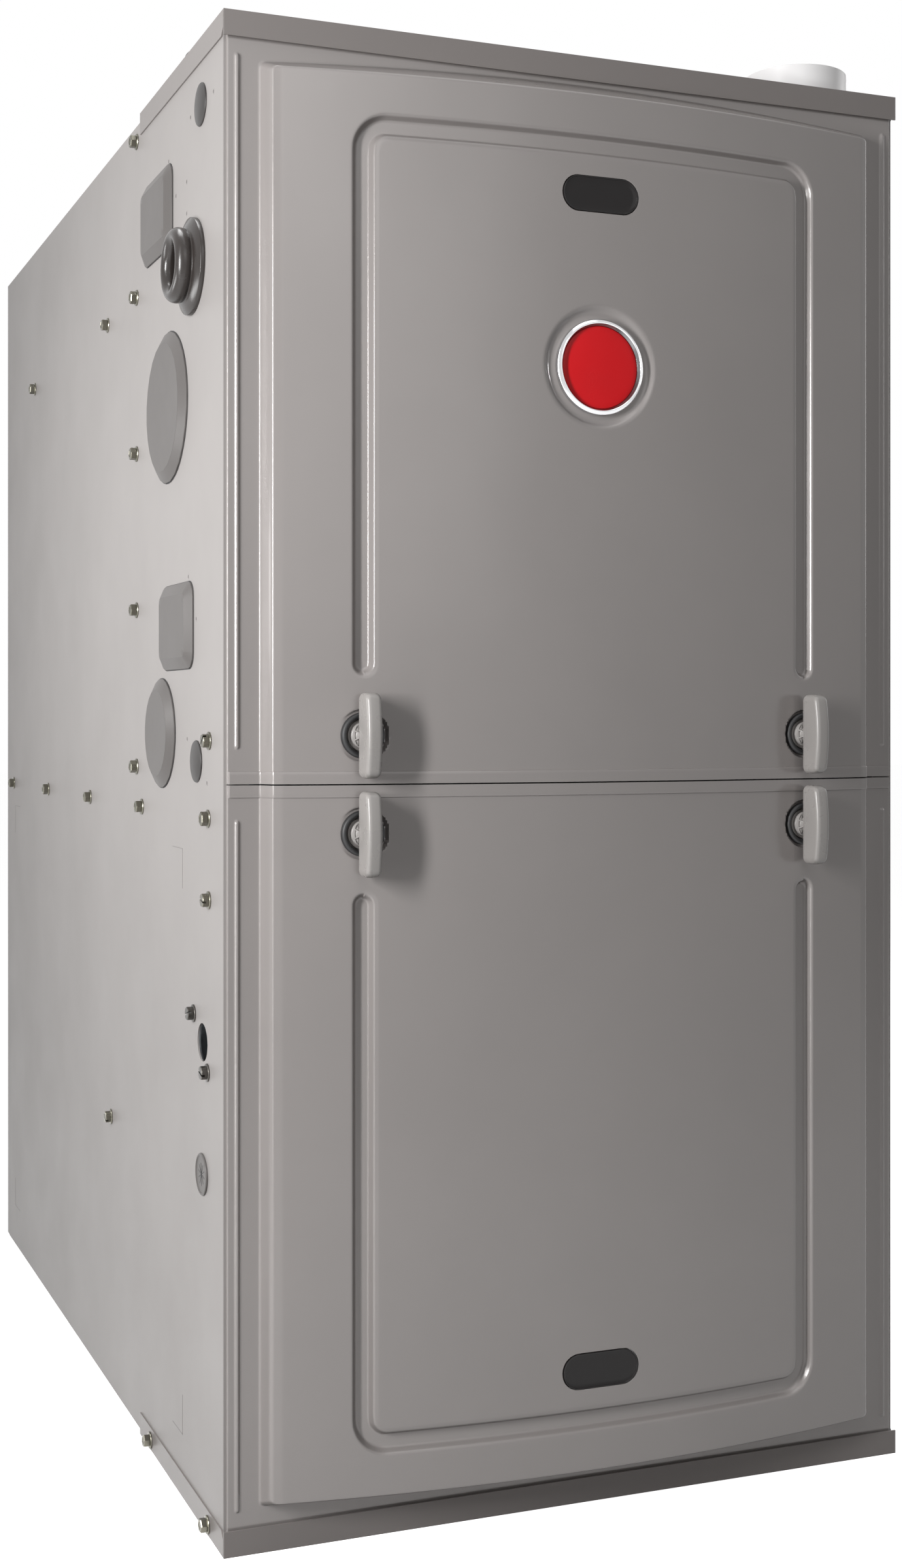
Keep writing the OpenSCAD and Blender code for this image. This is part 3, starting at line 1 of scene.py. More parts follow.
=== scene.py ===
import bpy, bmesh, json, math
import numpy as np
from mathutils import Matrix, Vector


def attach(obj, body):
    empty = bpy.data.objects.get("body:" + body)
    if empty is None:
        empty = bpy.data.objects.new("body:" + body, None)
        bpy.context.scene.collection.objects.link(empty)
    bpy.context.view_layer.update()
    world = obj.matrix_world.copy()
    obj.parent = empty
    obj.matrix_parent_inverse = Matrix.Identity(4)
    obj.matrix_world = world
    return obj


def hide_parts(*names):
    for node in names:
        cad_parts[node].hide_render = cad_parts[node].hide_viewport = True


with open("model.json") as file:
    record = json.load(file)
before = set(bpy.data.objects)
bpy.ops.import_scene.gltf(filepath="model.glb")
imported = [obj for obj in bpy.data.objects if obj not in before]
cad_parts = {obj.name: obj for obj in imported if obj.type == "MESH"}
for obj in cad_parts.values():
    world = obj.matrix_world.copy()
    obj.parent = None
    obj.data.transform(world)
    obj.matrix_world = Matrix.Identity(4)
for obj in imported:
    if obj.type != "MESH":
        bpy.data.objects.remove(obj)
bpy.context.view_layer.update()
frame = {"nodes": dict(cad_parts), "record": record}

NODES = frame["nodes"]
MM = 0.001
PI = math.pi

# ------------------------------------------------------------------ camera
# The photograph's camera, solved from the cabinet's edges; lengths in pixels of a 1380 x 2400 frame
FRAME_W, FRAME_H = 1380, 2400
FOCAL = 2963.25
CENTRE_X, CENTRE_Y = 593.83, 1097.92
cam_data = bpy.data.cameras.new("camera")
cam = bpy.data.objects.new("camera", cam_data)
bpy.context.scene.collection.objects.link(cam)
cam.location = (-0.51596, -1.40611, 0.46994)
cam.rotation_euler = (PI / 2, 0, -0.35911)
cam_data.sensor_fit = "AUTO"
cam_data.sensor_width = 36
cam_data.lens = 36 * FOCAL / FRAME_H
cam_data.shift_x = (FRAME_W / 2 - CENTRE_X) / FRAME_H
cam_data.shift_y = (CENTRE_Y - FRAME_H / 2) / FRAME_H
cam_data.clip_start = 0.02
cam_data.clip_end = 60
bpy.context.scene.camera = cam
bpy.context.scene.view_settings.view_transform = "Standard"


# --------------------------------------------------------------- materials
class Mat:
    """A material with a Principled shader and short calls that add nodes to it."""

    def __init__(self, name, color, rough=0.4, metal=0.0, **sockets):
        self.mat = bpy.data.materials.new(name)
        self.mat.use_nodes = True
        self.nt = self.mat.node_tree
        self.bsdf = self.nt.nodes["Principled BSDF"]
        self.coord = self.nt.nodes.new("ShaderNodeTexCoord")
        self.set("Base Color", (*color, 1))
        self.set("Roughness", rough)
        self.set("Metallic", metal)
        for k, v in sockets.items():
            self.set(k.replace("_", " "), v)

    def set(self, socket, value):
        self.bsdf.inputs[socket].default_value = value

    def node(self, kind, **props):
        n = self.nt.nodes.new("ShaderNode" + kind)
        for k, v in props.items():
            setattr(n, k, v)
        return n

    def link(self, a, b):
        self.nt.links.new(a, b)

    def mapped(self, scale=(1, 1, 1)):
        m = self.node("Mapping")
        m.inputs["Scale"].default_value = scale
        self.link(self.coord.outputs["Object"], m.inputs["Vector"])
        return m.outputs["Vector"]

    def noise(self, scale, detail=2.0, rough=0.5, stretch=(1, 1, 1)):
        n = self.node("TexNoise")
        n.inputs["Scale"].default_value = scale
        n.inputs["Detail"].default_value = detail
        n.inputs["Roughness"].default_value = rough
        self.link(self.mapped(stretch), n.inputs["Vector"])
        return n.outputs["Fac"]

    def cells(self, scale):
        """A random colour for each crystal-like cell."""
        n = self.node("TexVoronoi", feature="F1")
        n.inputs["Scale"].default_value = scale
        self.link(self.mapped(), n.inputs["Vector"])
        return n.outputs["Color"]

    def span(self, fac, lo, hi, from_lo=0.3, from_hi=0.7):
        n = self.node("MapRange")
        n.inputs["From Min"].default_value = from_lo
        n.inputs["From Max"].default_value = from_hi
        n.inputs["To Min"].default_value = lo
        n.inputs["To Max"].default_value = hi
        self.link(fac, n.inputs["Value"])
        return n.outputs["Result"]

    def mix(self, fac, a, b):
        n = self.node("Mix", data_type="RGBA")
        self.link(fac, n.inputs["Factor"])
        for value, socket in ((a, n.inputs["A"]), (b, n.inputs["B"])):
            if isinstance(value, tuple):
                socket.default_value = (*value, 1)
            else:
                self.link(value, socket)
        return n.outputs["Result"]

    def color(self, out):
        self.link(out, self.bsdf.inputs["Base Color"])

    def rough(self, out):
        self.link(out, self.bsdf.inputs["Roughness"])

    def bump(self, height, strength=0.1, distance=0.0002):
        n = self.node("Bump")
        n.inputs["Strength"].default_value = strength
        n.inputs["Distance"].default_value = distance
        self.link(height, n.inputs["Height"])
        self.link(n.outputs["Normal"], self.bsdf.inputs["Normal"])


def shade(c, k):
    """A colour made darker or lighter."""
    return tuple(min(1.0, v * k) for v in c)


def paint(name, color, rough, metal=0.0, peel=0.05, spec=0.5):
    """Satin enamel on sheet steel: slight mottling, orange peel and a few dull patches."""
    m = Mat(name, color, rough, metal, Coat_Weight=0, Coat_Roughness=0.2, Specular_IOR_Level=spec)
    m.color(m.mix(m.span(m.noise(9, 3, 0.55), 0, 1), shade(color, 0.97), shade(color, 1.03)))
    m.rough(m.span(m.noise(14, 4, 0.6), rough - 0.03, rough + 0.04))
    m.bump(m.noise(900, 2, 0.5), peel, 0.00006)
    return m.mat


def galvanised(name, color, rough):
    """Zinc-coated sheet: crystal spangle in colour and roughness."""
    m = Mat(name, color, rough, 0.9)
    grey = m.node("RGBToBW")
    m.link(m.cells(110), grey.inputs["Color"])
    m.color(m.mix(m.span(grey.outputs["Val"], 0, 1, 0.2, 0.8), shade(color, 0.82), shade(color, 1.12)))
    m.rough(m.span(grey.outputs["Val"], rough - 0.06, rough + 0.14, 0.1, 0.9))
    m.bump(m.noise(60, 3, 0.5), 0.08, 0.0003)
    return m.mat


def metal(name, color, rough=0.3, grain=300, strength=0.06, stretch=(1, 1, 1), vary=0.06):
    """Bare metal with a fine grain and slight stains."""
    m = Mat(name, color, rough, 1.0)
    m.color(m.mix(m.span(m.noise(18, 4, 0.6), 0, 1), shade(color, 1 - vary), shade(color, 1 + vary)))
    m.rough(m.span(m.noise(40, 3, 0.6, stretch), rough - 0.05, rough + 0.08))
    m.bump(m.noise(grain, 2, 0.6, stretch), strength, 0.0002)
    return m.mat


def plastic(name, color, rough=0.4, texture=900, strength=0.05, coat=0.0, vary=0.04, spec=0.5):
    """Moulded plastic or rubber: fine skin texture, faint colour and gloss change."""
    m = Mat(name, color, rough, 0.0, Coat_Weight=coat, Coat_Roughness=0.15, Specular_IOR_Level=spec)
    m.color(m.mix(m.span(m.noise(25, 3, 0.5), 0, 1), shade(color, 1 - vary), shade(color, 1 + vary)))
    m.rough(m.span(m.noise(60, 3, 0.5), rough - 0.04, rough + 0.05))
    m.bump(m.noise(texture, 2, 0.5), strength, 0.0001)
    return m.mat


MATS = {
    # Case, door and cap are one taupe paint in three tones: the door's and the cap's darker tones are partly
    # painted shade for the front and the top
    "case_paint": paint("case_paint", (0.322, 0.303, 0.294), 0.42, spec=0.16),
    "door_paint": paint("door_paint", (0.292, 0.270, 0.261), 0.21, 0.08, 0.02),
    "cap_paint": paint("cap_paint", (0.235, 0.215, 0.207), 0.34, 0.02, 0.03, spec=0.2),
    "cover_paint": paint("cover_paint", (0.112, 0.104, 0.100), 0.42, spec=0.25),
    "galvanised": galvanised("galvanised", (0.58, 0.60, 0.62), 0.34),
    "aluminised": metal("aluminised", (0.52, 0.53, 0.54), 0.42, 220, 0.1, vary=0.1),
    "coil_fins": metal("coil_fins", (0.74, 0.76, 0.78), 0.25, 500, 0.08, (1, 1, 12)),
    "steel": metal("steel", (0.50, 0.51, 0.53), 0.32, 400, 0.08),
    "black_iron": metal("black_iron", (0.06, 0.06, 0.06), 0.5, 200, 0.25, vary=0.2),
    "cast_aluminium": metal("cast_aluminium", (0.60, 0.61, 0.62), 0.45, 260, 0.3),
    "zinc_plate": metal("zinc_plate", (0.175, 0.168, 0.138), 0.26, 500, 0.05, vary=0.12),
    "screw_dark": metal("screw_dark", (0.09, 0.085, 0.078), 0.3, 500, 0.1, vary=0.15),
    "black_plastic": plastic("black_plastic", (0.022, 0.022, 0.023), 0.42),
    "motor_paint": plastic("motor_paint", (0.03, 0.031, 0.034), 0.3, 500, 0.05, 0.4),
    "white_pvc": plastic("white_pvc", (0.93, 0.92, 0.92), 0.32, 500, 0.03, 0.1, 0.01),
    "black_rubber": plastic("black_rubber", (0.018, 0.018, 0.019), 0.48, 600, 0.08),
    "grey_rubber": plastic("grey_rubber", (0.030, 0.025, 0.023), 0.24, 700, 0.02, 0.0, spec=0.45),
    "board_green": plastic("board_green", (0.02, 0.12, 0.045), 0.3, 400, 0.1, 0.5, 0.15),
    "transformer_core": metal("transformer_core", (0.10, 0.085, 0.07), 0.45, 900, 0.2, (1, 14, 1)),
    "ceramic": plastic("ceramic", (0.72, 0.69, 0.62), 0.55, 500, 0.1),
    "latch_plastic": plastic("latch_plastic", (0.32, 0.303, 0.291), 0.28, 1200, 0.02, 0.0, 0.015),
    "dome_plastic": plastic("dome_plastic", (0.036, 0.033, 0.032), 0.36, 900, 0.02, spec=0.28),
    "smoked_glass": plastic("smoked_glass", (0.014, 0.012, 0.012), 0.16, 300, 0.0, spec=0.22),
    "badge_trim": metal("badge_trim", (0.66, 0.66, 0.67), 0.12, 300, 0.01, vary=0.02),
    # a darker copy of the badge chrome: painted shade for the bezel's inner slope
    "dark_chrome": metal("dark_chrome", (0.20, 0.20, 0.205), 0.14, 300, 0.01, vary=0.02),
    "insulation": metal("insulation", (0.62, 0.62, 0.63), 0.38, 90, 0.5, vary=0.06),
    "taupe_plastic": plastic("taupe_plastic", (0.20, 0.185, 0.175), 0.4, 900, 0.04),
    # a tone darker than the case paint: painted shade of the pressed score lines
    "case_line": plastic("case_line", (0.22, 0.21, 0.20), 0.5, 500, 0.05),
    "button_red": plastic("button_red", (0.74, 0.010, 0.015), 0.3, 500, 0.02, 0.0, spec=0.2),
    "white_plastic": plastic("white_plastic", (0.78, 0.78, 0.76), 0.35, 500, 0.04, 0.1),
}
for part in frame["record"]["subparts"]:
    ob = NODES[part["node"]]
    ob.data.materials.clear()
    ob.data.materials.append(MATS[part["material_slot"]])


# ------------------------------------------------------------- mesh helpers
def new_object(name, verts, faces, material, body, slot=None, smooth=35):
    """A mesh that rides on a body; edges sharper than the smooth angle stay crisp."""
    me = bpy.data.meshes.new(name)
    me.from_pydata([tuple(map(float, v)) for v in verts], [], [tuple(map(int, f)) for f in faces])
    me.validate()
    bm = bmesh.new()
    bm.from_mesh(me)
    bmesh.ops.recalc_face_normals(bm, faces=bm.faces)
    bm.to_mesh(me)
    bm.free()
    ob = bpy.data.objects.new(name, me)
    bpy.context.scene.collection.objects.link(ob)
    me.materials.append(MATS[material])
    me.polygons.foreach_set("use_smooth", [True] * len(me.polygons))
    me.set_sharp_from_angle(angle=math.radians(smooth))
    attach(ob, body)
    return ob


def revolve(profile, n):
    """Solid of revolution about the third axis from (radius, height) points; radius 0 closes it."""
    verts, faces, rings = [], [], []
    for r, h in profile:
        if r < 1e-6:
            rings.append([len(verts)])
            verts.append((0, 0, h))
        else:
            rings.append(list(range(len(verts), len(verts) + n)))
            verts.extend((r * math.cos(2 * PI * k / n), r * math.sin(2 * PI * k / n), h) for k in range(n))
    for a, b in zip(rings[:-1], rings[1:]):
        for k in range(n):
            k2 = (k + 1) % n
            if len(a) == 1:
                faces.append((a[0], b[k2], b[k]))
            elif len(b) == 1:
                faces.append((a[k], a[k2], b[0]))
            else:
                faces.append((a[k], a[k2], b[k2], b[k]))
    return verts, faces


def loft(loops, caps=True):
    """Skin over closed loops of points, all of one length."""
    n = len(loops[0])
    verts = [tuple(p) for loop in loops for p in loop]
    faces = [(i * n + k, i * n + (k + 1) % n, (i + 1) * n + (k + 1) % n, (i + 1) * n + k)
             for i in range(len(loops) - 1) for k in range(n)]
    if caps:
        faces.append(tuple(range(n))[::-1])
        faces.append(tuple(range((len(loops) - 1) * n, len(loops) * n)))
    return verts, faces


def rrect(w, h, r, z, n):
    """Rounded rectangle loop in the first two axes at height z, n points to a corner."""
    r = min(r, w / 2 - 1e-4, h / 2 - 1e-4)
    pts = []
    for cx, cy, a0 in ((1, 1, 0), (-1, 1, 90), (-1, -1, 180), (1, -1, 270)):
        for k in range(n):
            a = math.radians(a0 + 90 * k / (n - 1))
            pts.append((cx * (w / 2 - r) + r * math.cos(a), cy * (h / 2 - r) + r * math.sin(a), z))
    return pts


def block(x0, x1, y0, y1, z0, z1):
    """A box between two corners."""
    v = [(x, y, z) for x in (x0, x1) for y in (y0, y1) for z in (z0, z1)]
    return v, [(0, 1, 3, 2), (4, 6, 7, 5), (0, 4, 5, 1), (2, 3, 7, 6), (0, 2, 6, 4), (1, 5, 7, 3)]


def placed(part, where):
    """A part moved into a frame from on_wall or on_front."""
    return [where(*v) for v in part[0]], part[1]


def joined(parts):
    """One list of vertices and one of faces for several parts."""
    verts, faces = [], []
    for v, f in parts:
        off = len(verts)
        verts.extend(v)
        faces.extend(tuple(i + off for i in g) for g in f)
    return verts, faces


WALL_X = 221


def on_wall(side, y, z, turn=0.0):
    """Frame on a side wall: a runs along +Y, b along +Z, h out of the wall."""
    c, s = math.cos(turn), math.sin(turn)
    return lambda a, b, h: (side * (WALL_X + h) * MM, (y + a * c - b * s) * MM, (z + a * s + b * c) * MM)


def on_front(x, y, z):
    """Frame facing -Y: a runs along +X, b along +Z, h towards the viewer."""
    return lambda a, b, h: ((x + a) * MM, (y - h) * MM, (z + b) * MM)


def smin(a, b, k):
    """The lower of two heights, rounded over a band of k where they meet."""
    h = np.clip(0.5 + 0.5 * (b - a) / k, 0, 1)
    return b * (1 - h) + a * h - k * h * (1 - h)


def smax(a, b, k):
    """The higher of two heights, rounded in the same way."""
    return -smin(-a, -b, k)


def ease(t):
    """A smooth step from 0 to 1."""
    t = np.clip(t, 0, 1)
    return t * t * (3 - 2 * t)


# ------------------------------------------------------------------- doors
# Heights stand in front of the flat border, u runs from the seam towards the hooked edge; all in mm
BORDER_Y = -359.5
FLAT_Y = -375.73
CROWN = 27.5
BOW_R = 1100.0
FIELD_HX = 200.4
CREST_X = 195.4
SLOPE = (CROWN - BOW_R + math.sqrt(BOW_R ** 2 - CREST_X ** 2)) / (FIELD_HX - CREST_X)
CREASE = 402.6
SEAM = {"upper": 432.4, "lower": 431.6}
TOE = {"upper": 848.2 - 432.4, "lower": 431.6 - 19.0}
END = {"upper": 853.0 - 432.4, "lower": 431.6 - 13.0}
TONGUE_Z = {"upper": 859.3, "lower": 4.0}
GROOVE_X, GROOVE_R, GROOVE_W = 144, 14, 7.3
GROOVE_TOP, GROOVE_END = 379.8, 60.6
LATCH_X, LATCH_U = 144.8, 27.3
SIGHT_U = 344.0
SIGHT_HALF = 14.15
WINDOW_X, WINDOW_U = 30, (326, 362)
BADGE_Y, BADGE_U = -384.1, 243.0
DISH_R, DISH_RUN = 36.6, 5.2
RIB_X = 213.6
EDGE_X = 218.5
SKIN = 1.0
PAN_X, PAN_DEPTH = 204.8, 8


def bow(x):
    """The bowed field's height at x."""
    return CROWN - BOW_R + np.sqrt(BOW_R ** 2 - x * x)


def door_height(x, u, which):
    """How far the door's face stands in front of its flat border, in mm."""
    ax = np.abs(x)
    toe = TOE[which]
    r = BOW_R - CROWN * (u - CREASE) / (toe - CREASE)
    cone = CROWN - BOW_R + np.sqrt(np.maximum(r * r - x * x, 1))
    side = (FIELD_HX - ax) * SLOPE
    rolled = bow(x) - 0.8 * ease((ax - 189.5) / 7)
    field = smin(rolled, smin(side, cone, 5.0), 2.0)
    field = smin(smin(side, cone, 9.0), field, 0.6)
    h = smax(field, np.zeros_like(field), 1.8)
    # pressed groove: each wall is a shallow shoulder and a steep drop
    top = GROOVE_TOP - GROOVE_W
    qx, qu = ax - (GROOVE_X - GROOVE_R), u - (top - GROOVE_R)
    box = np.hypot(np.maximum(qx, 0), np.maximum(qu, 0)) + np.minimum(np.maximum(qx, qu), 0) - GROOVE_R
    end = np.maximum(GROOVE_END + GROOVE_W - u, 0)
    d = np.where(end > 0, np.hypot(ax - GROOVE_X, end), np.abs(box))
    out_wall = 0.5 * ease((8.45 - d) / 5) + 4.0 * ease((GROOVE_W - d) / 3.8)
    in_wall = 0.4 * ease((8.4 - d) / 3) + 4.1 * ease((6.0 - d) / 3.0)
    h = h - np.where(box > 0, out_wall, in_wall)
    # badge dish
    if which == "upper":
        d = np.hypot(x + 0.5, u - BADGE_U)
        h = h - np.maximum(h - (CROWN - 3.0), 0) * ease((DISH_R - d) / DISH_RUN)
    # flats under the latches
    d = np.hypot(ax - LATCH_X, u - LATCH_U)
    h = h + np.minimum(BORDER_Y - FLAT_Y - h, 0) * ease((15.0 - d) / 0.9)
    # ribs in the border
    along = np.maximum(np.maximum(21 - u, u - (END[which] - 12)), 0)
    d = np.hypot(ax - RIB_X, along)
    h = h + 1.0 * ease((1.9 - d) / 1.7)
    # lip along the seam
    h = h + 0.8 * np.clip((7.05 - u) / 0.25, 0, 1) * np.clip((218.6 - ax) / 0.3, 0, 1)
    # folded edge
    t = np.clip(ax - EDGE_X, 0, 1)
    return h - (1 - np.sqrt(np.maximum(1 - t * t, 0)))


def lines(*stretches):
    """Sorted grid lines from (start, end, step) stretches, without lines that nearly coincide."""
    out = []
    for a, b, step in stretches:
        n = max(1, int(round((b - a) / step)))
        out.extend(a + (b - a) * k / n for k in range(n + 1))
    out = sorted(out)
    keep = [out[0]]
    for v in out[1:]:
        if v - keep[-1] > 0.12:
            keep.append(v)
    return np.array(keep)


def door_grid(which):
    """Grid lines across the door and away from the seam, close together where the face bends."""
    end = END[which]
    middle = ((0, 46, 1.0), (46, 128, 6)) if which == "upper" else ((0, 128, 6),)
    half = lines(*middle, (128, 133, 1), (133, 155, 0.45), (155, 163, 1), (163, 186, 4), (186, 206, 0.5),
                 (206, 212, 1.5), (212, EDGE_X, 0.35), (EDGE_X, 219.5, 0.17))
    xs = np.concatenate([-half[::-1], half[1:]])
    us = [(0, 6.6, 1.6), (6.6, 7.4, 0.12), (7.4, 11, 1.2), (11, 44, 0.6), (44, 58, 4), (58, 80, 0.8),
          (80, WINDOW_U[0], 6), (*WINDOW_U, 3), (WINDOW_U[1], 383, 0.6), (383, 392, 3), (392, end, 0.6)]
    if which == "upper":
        us.append((BADGE_U - 40, BADGE_U + 40, 1.0))
    return xs, lines(*us)


def door_skin(which):
    """Door skin from its height field, with a back face and closed edges, plus the pan's walls."""
    xs, us = door_grid(which)
    X, U = np.meshgrid(xs, us)
    H = door_height(X, U, which)
    seam = SEAM[which]
    sign = 1 if which == "upper" else -1
    Z = seam + sign * U
    front = np.stack([X, BORDER_Y - H, Z], -1)
    back = np.stack([X, BORDER_Y - H + SKIN, Z], -1)
    nu, nx = X.shape
    verts = np.concatenate([front.reshape(-1, 3), back.reshape(-1, 3)]) * MM
    off = nu * nx
    idx = np.arange(off).reshape(nu, nx)
    a, b, c, d = idx[:-1, :-1], idx[:-1, 1:], idx[1:, 1:], idx[1:, :-1]
    x0, x1 = (int(np.argmin(abs(xs - x))) for x in (-WINDOW_X, WINDOW_X))
    u0, u1 = (int(np.argmin(abs(us - u))) for u in WINDOW_U)
    keep = np.ones(a.shape, bool)
    keep[u0:u1, x0:x1] = False
    quads = np.stack([a, b, c, d], -1)[keep]
    faces = [tuple(q) for q in quads] + [tuple(q[::-1] + off) for q in quads]
    rim = list(idx[0, :]) + list(idx[1:, -1]) + list(idx[-1, -2::-1]) + list(idx[-2:0:-1, 0])
    for k in range(len(rim)):
        i, j = rim[k], rim[(k + 1) % len(rim)]
        faces.append((i, i + off, j + off, j))
    verts = [tuple(v) for v in verts]
    # oval window: the grid is opened and its edge drawn in to the oval in three loops
    loop = ([(u0, i) for i in range(x0, x1)] + [(j, x1) for j in range(u0, u1)] +
            [(u1, i) for i in range(x1, x0, -1)] + [(j, x0) for j in range(u1, u0, -1)])
    last = {0: [int(idx[j, i]) for j, i in loop]}
    last[1] = [i + off for i in last[0]]
    for reach, sink in ((12.2, 0), (10.9, 0), (10.6, 0.25)):
        for layer in (0, 1):
            ring = []
            for j, i in loop:
                px, pu = float(xs[i]), float(us[j]) - SIGHT_U
                cx = max(-SIGHT_HALF, min(SIGHT_HALF, px))
                d = math.hypot(px - cx, pu)
                qx, qu = cx + (px - cx) / d * reach, SIGHT_U + pu / d * reach
                h = float(bow(np.array(qx))) - (sink if layer == 0 else SKIN)
                ring.append(len(verts))
                verts.append((qx * MM, (BORDER_Y - h) * MM, (seam + sign * qu) * MM))
            for k in range(len(ring)):
                m = (k + 1) % len(ring)
                faces.append((last[layer][k], last[layer][m], ring[m], ring[k]))
            last[layer] = ring
    for k in range(len(last[0])):
        m = (k + 1) % len(last[0])
        faces.append((last[0][k], last[0][m], last[1][m], last[1][k]))

    def wall(points, dx, dy, dz):
        """A thin wall: a strip of (front, rear) point pairs, thickened by an offset."""
        base = len(verts)
        n = len(points)
        for p, q in points:
            for s in (0, 1):
                verts.append(((p[0] + s * dx) * MM, (p[1] + s * dy) * MM, (p[2] + s * dz) * MM))
                verts.append(((q[0] + s * dx) * MM, (q[1] + s * dy) * MM, (q[2] + s * dz) * MM))
        for k in range(n - 1):
            i, j = base + 4 * k, base + 4 * (k + 1)
            faces.append((i, j, j + 1, i + 1))
            faces.append((i + 2, i + 3, j + 3, j + 2))
            faces.append((i + 1, j + 1, j + 3, i + 3))
            faces.append((i, i + 2, j + 2, j))
        for i in (base, base + 4 * (n - 1)):
            faces.append((i, i + 1, i + 3, i + 2))

    # the pan behind the field: its sides, its seam edge, its far edge and the tongue that hooks in
    toe = TOE[which]
    rear = BORDER_Y + PAN_DEPTH
    for s in (-1, 1):
        wall([((s * PAN_X, BORDER_Y + 0.6, seam + sign * u), (s * PAN_X, rear, seam + sign * u))
              for u in (0.2, toe - 0.2)], -s, 0, 0)
    row = [x for x in xs if abs(x) <= PAN_X - 1.4]
    wall([((x, BORDER_Y - float(door_height(np.array(x), np.array(0.0), which)) + 0.6, seam), (x, rear, seam))
          for x in row[::3] + [row[-1]]], 0, 0, sign)
    wall([((x, BORDER_Y + 0.6, seam + sign * (toe - 1)), (x, rear, seam + sign * (toe - 1)))
          for x in (1.2 - PAN_X, PAN_X - 1.2)], 0, 0, sign)
    wall([((x, BORDER_Y, seam + sign * (END[which] - 0.3)), (x, BORDER_Y, TONGUE_Z[which]))
          for x in (1 - PAN_X, PAN_X - 1)], 0, 1, 0)
    return verts, faces


for which in ("upper", "lower"):
    door = new_object(which + "_door_skin", *door_skin(which), "door_paint", which + "_door", smooth=38)
    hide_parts(which + "_door")

# --------------------------------------------------- latches, badge, glasses
REAR_Y = -381.93
HANDLE_HALF, HANDLE_END = 24, 4
HANDLE_ARCH, HANDLE_OUT = 97.5, 16.8


def latch_handle():
    """Arched bar with rounded ends and a fine recessed line along each side."""
    straight = HANDLE_HALF - HANDLE_END
    bs = [straight + HANDLE_END * math.sin(PI / 2 * k / 8) for k in range(9)]
    bs = sorted(set([-b for b in bs] + [-19.8, -19.65, -19.35, -19.2, -15, -10, -5, 0, 5, 10, 15,
                                        19.2, 19.35, 19.65, 19.8] + bs))
    loops = []
    for b in bs:
        e = HANDLE_END - math.sqrt(max(HANDLE_END ** 2 - max(abs(b) - straight, 0) ** 2, 0))
        front = HANDLE_OUT - (HANDLE_ARCH - math.sqrt(HANDLE_ARCH ** 2 - b * b)) - e
        rear = 0.55 * e
        hw = 4.5 - 0.62 * e
        rf, rr = min(2.5, hw - 0.1), min(1.1, hw - 0.1)
        pts = []
        for k in range(4):
            a = PI / 2 * k / 3
            pts.append((hw - rr + rr * math.sin(a), rear + rr - rr * math.cos(a)))
        for d in (1.5, 1.65, 1.95, 2.1, 4.0, 4.3, 7.0):
            cut = 0.0
            if abs(b) <= 19.66 and d in (1.65, 1.95):
                cut = 0.32
            if 19.3 <= abs(b) <= 19.7 and d in (2.1, 4.0):
                cut = 0.32
            pts.append((hw - cut, rear + d + 0.1))
        for k in range(8):
            a = PI / 2 * k / 7
            pts.append((hw - rf + rf * math.cos(a), front - rf + rf * math.sin(a)))
        loops.append([(x, b, y) for x, y in pts] + [(-x, b, y) for x, y in pts[::-1]])
    return loft(loops)


def lens(cx, rx, rz, h, r, n=28):
    """A thin closed bead along a tall ellipse."""
    loops = []
    for k in range(n):
        t = 2 * PI * k / n
        ox, oz = math.cos(t), math.sin(t)
        nx, nz = ox * rz, oz * rx
        q = math.hypot(nx, nz)
        nx, nz = nx / q, nz / q
        turns = [2 * PI * m / 8 for m in range(8)]
        loops.append([(cx + rx * ox + r * math.cos(a) * nx, rz * oz + r * math.cos(a) * nz,
                       h + r * math.sin(a)) for a in turns])
    return loft(loops + [loops[0]], caps=False)


def latch_parts():
    """The handle, its hub with the stud behind it, and the finger webs on both sides."""
    hub = revolve([(0, 0.6), (4.3, 0.6), (4.6, 0.2), (4.6, -1.2), (5.0, -1.7), (6.9, -2.5), (7.4, -2.7),
                   (7.6, -3.0), (7.6, -4.2), (7.4, -4.4), (4.2, -4.4), (4.2, -6.4), (4.0, -6.6),
                   (4.0, -45.5), (3.6, -46), (0, -46)], 40)
    webs = [lens(s * 4.4, 1.7, 5.4, -2.1, 0.42) for s in (-1, 1)]
    webs += [block(s * 4.1 - 0.35, s * 4.1 + 0.35, -4.8, 4.8, -2.6, -1.4) for s in (-1, 1)]
    for s in (-1, 1):
        for t in (-1, 1):
            webs.append(loft([[(s * 3.9, t * 1.0, 0.9), (s * 4.6, t * 1.0, 0.9), (s * 6.3, t * 2.4, -2.5),
                               (s * 3.9, t * 2.4, -2.5)],
                              [(s * 3.9, t * 1.7, 0.9), (s * 4.6, t * 1.7, 0.9), (s * 6.3, t * 3.1, -2.5),
                               (s * 3.9, t * 3.1, -2.5)]]))
    return [latch_handle(), hub] + webs


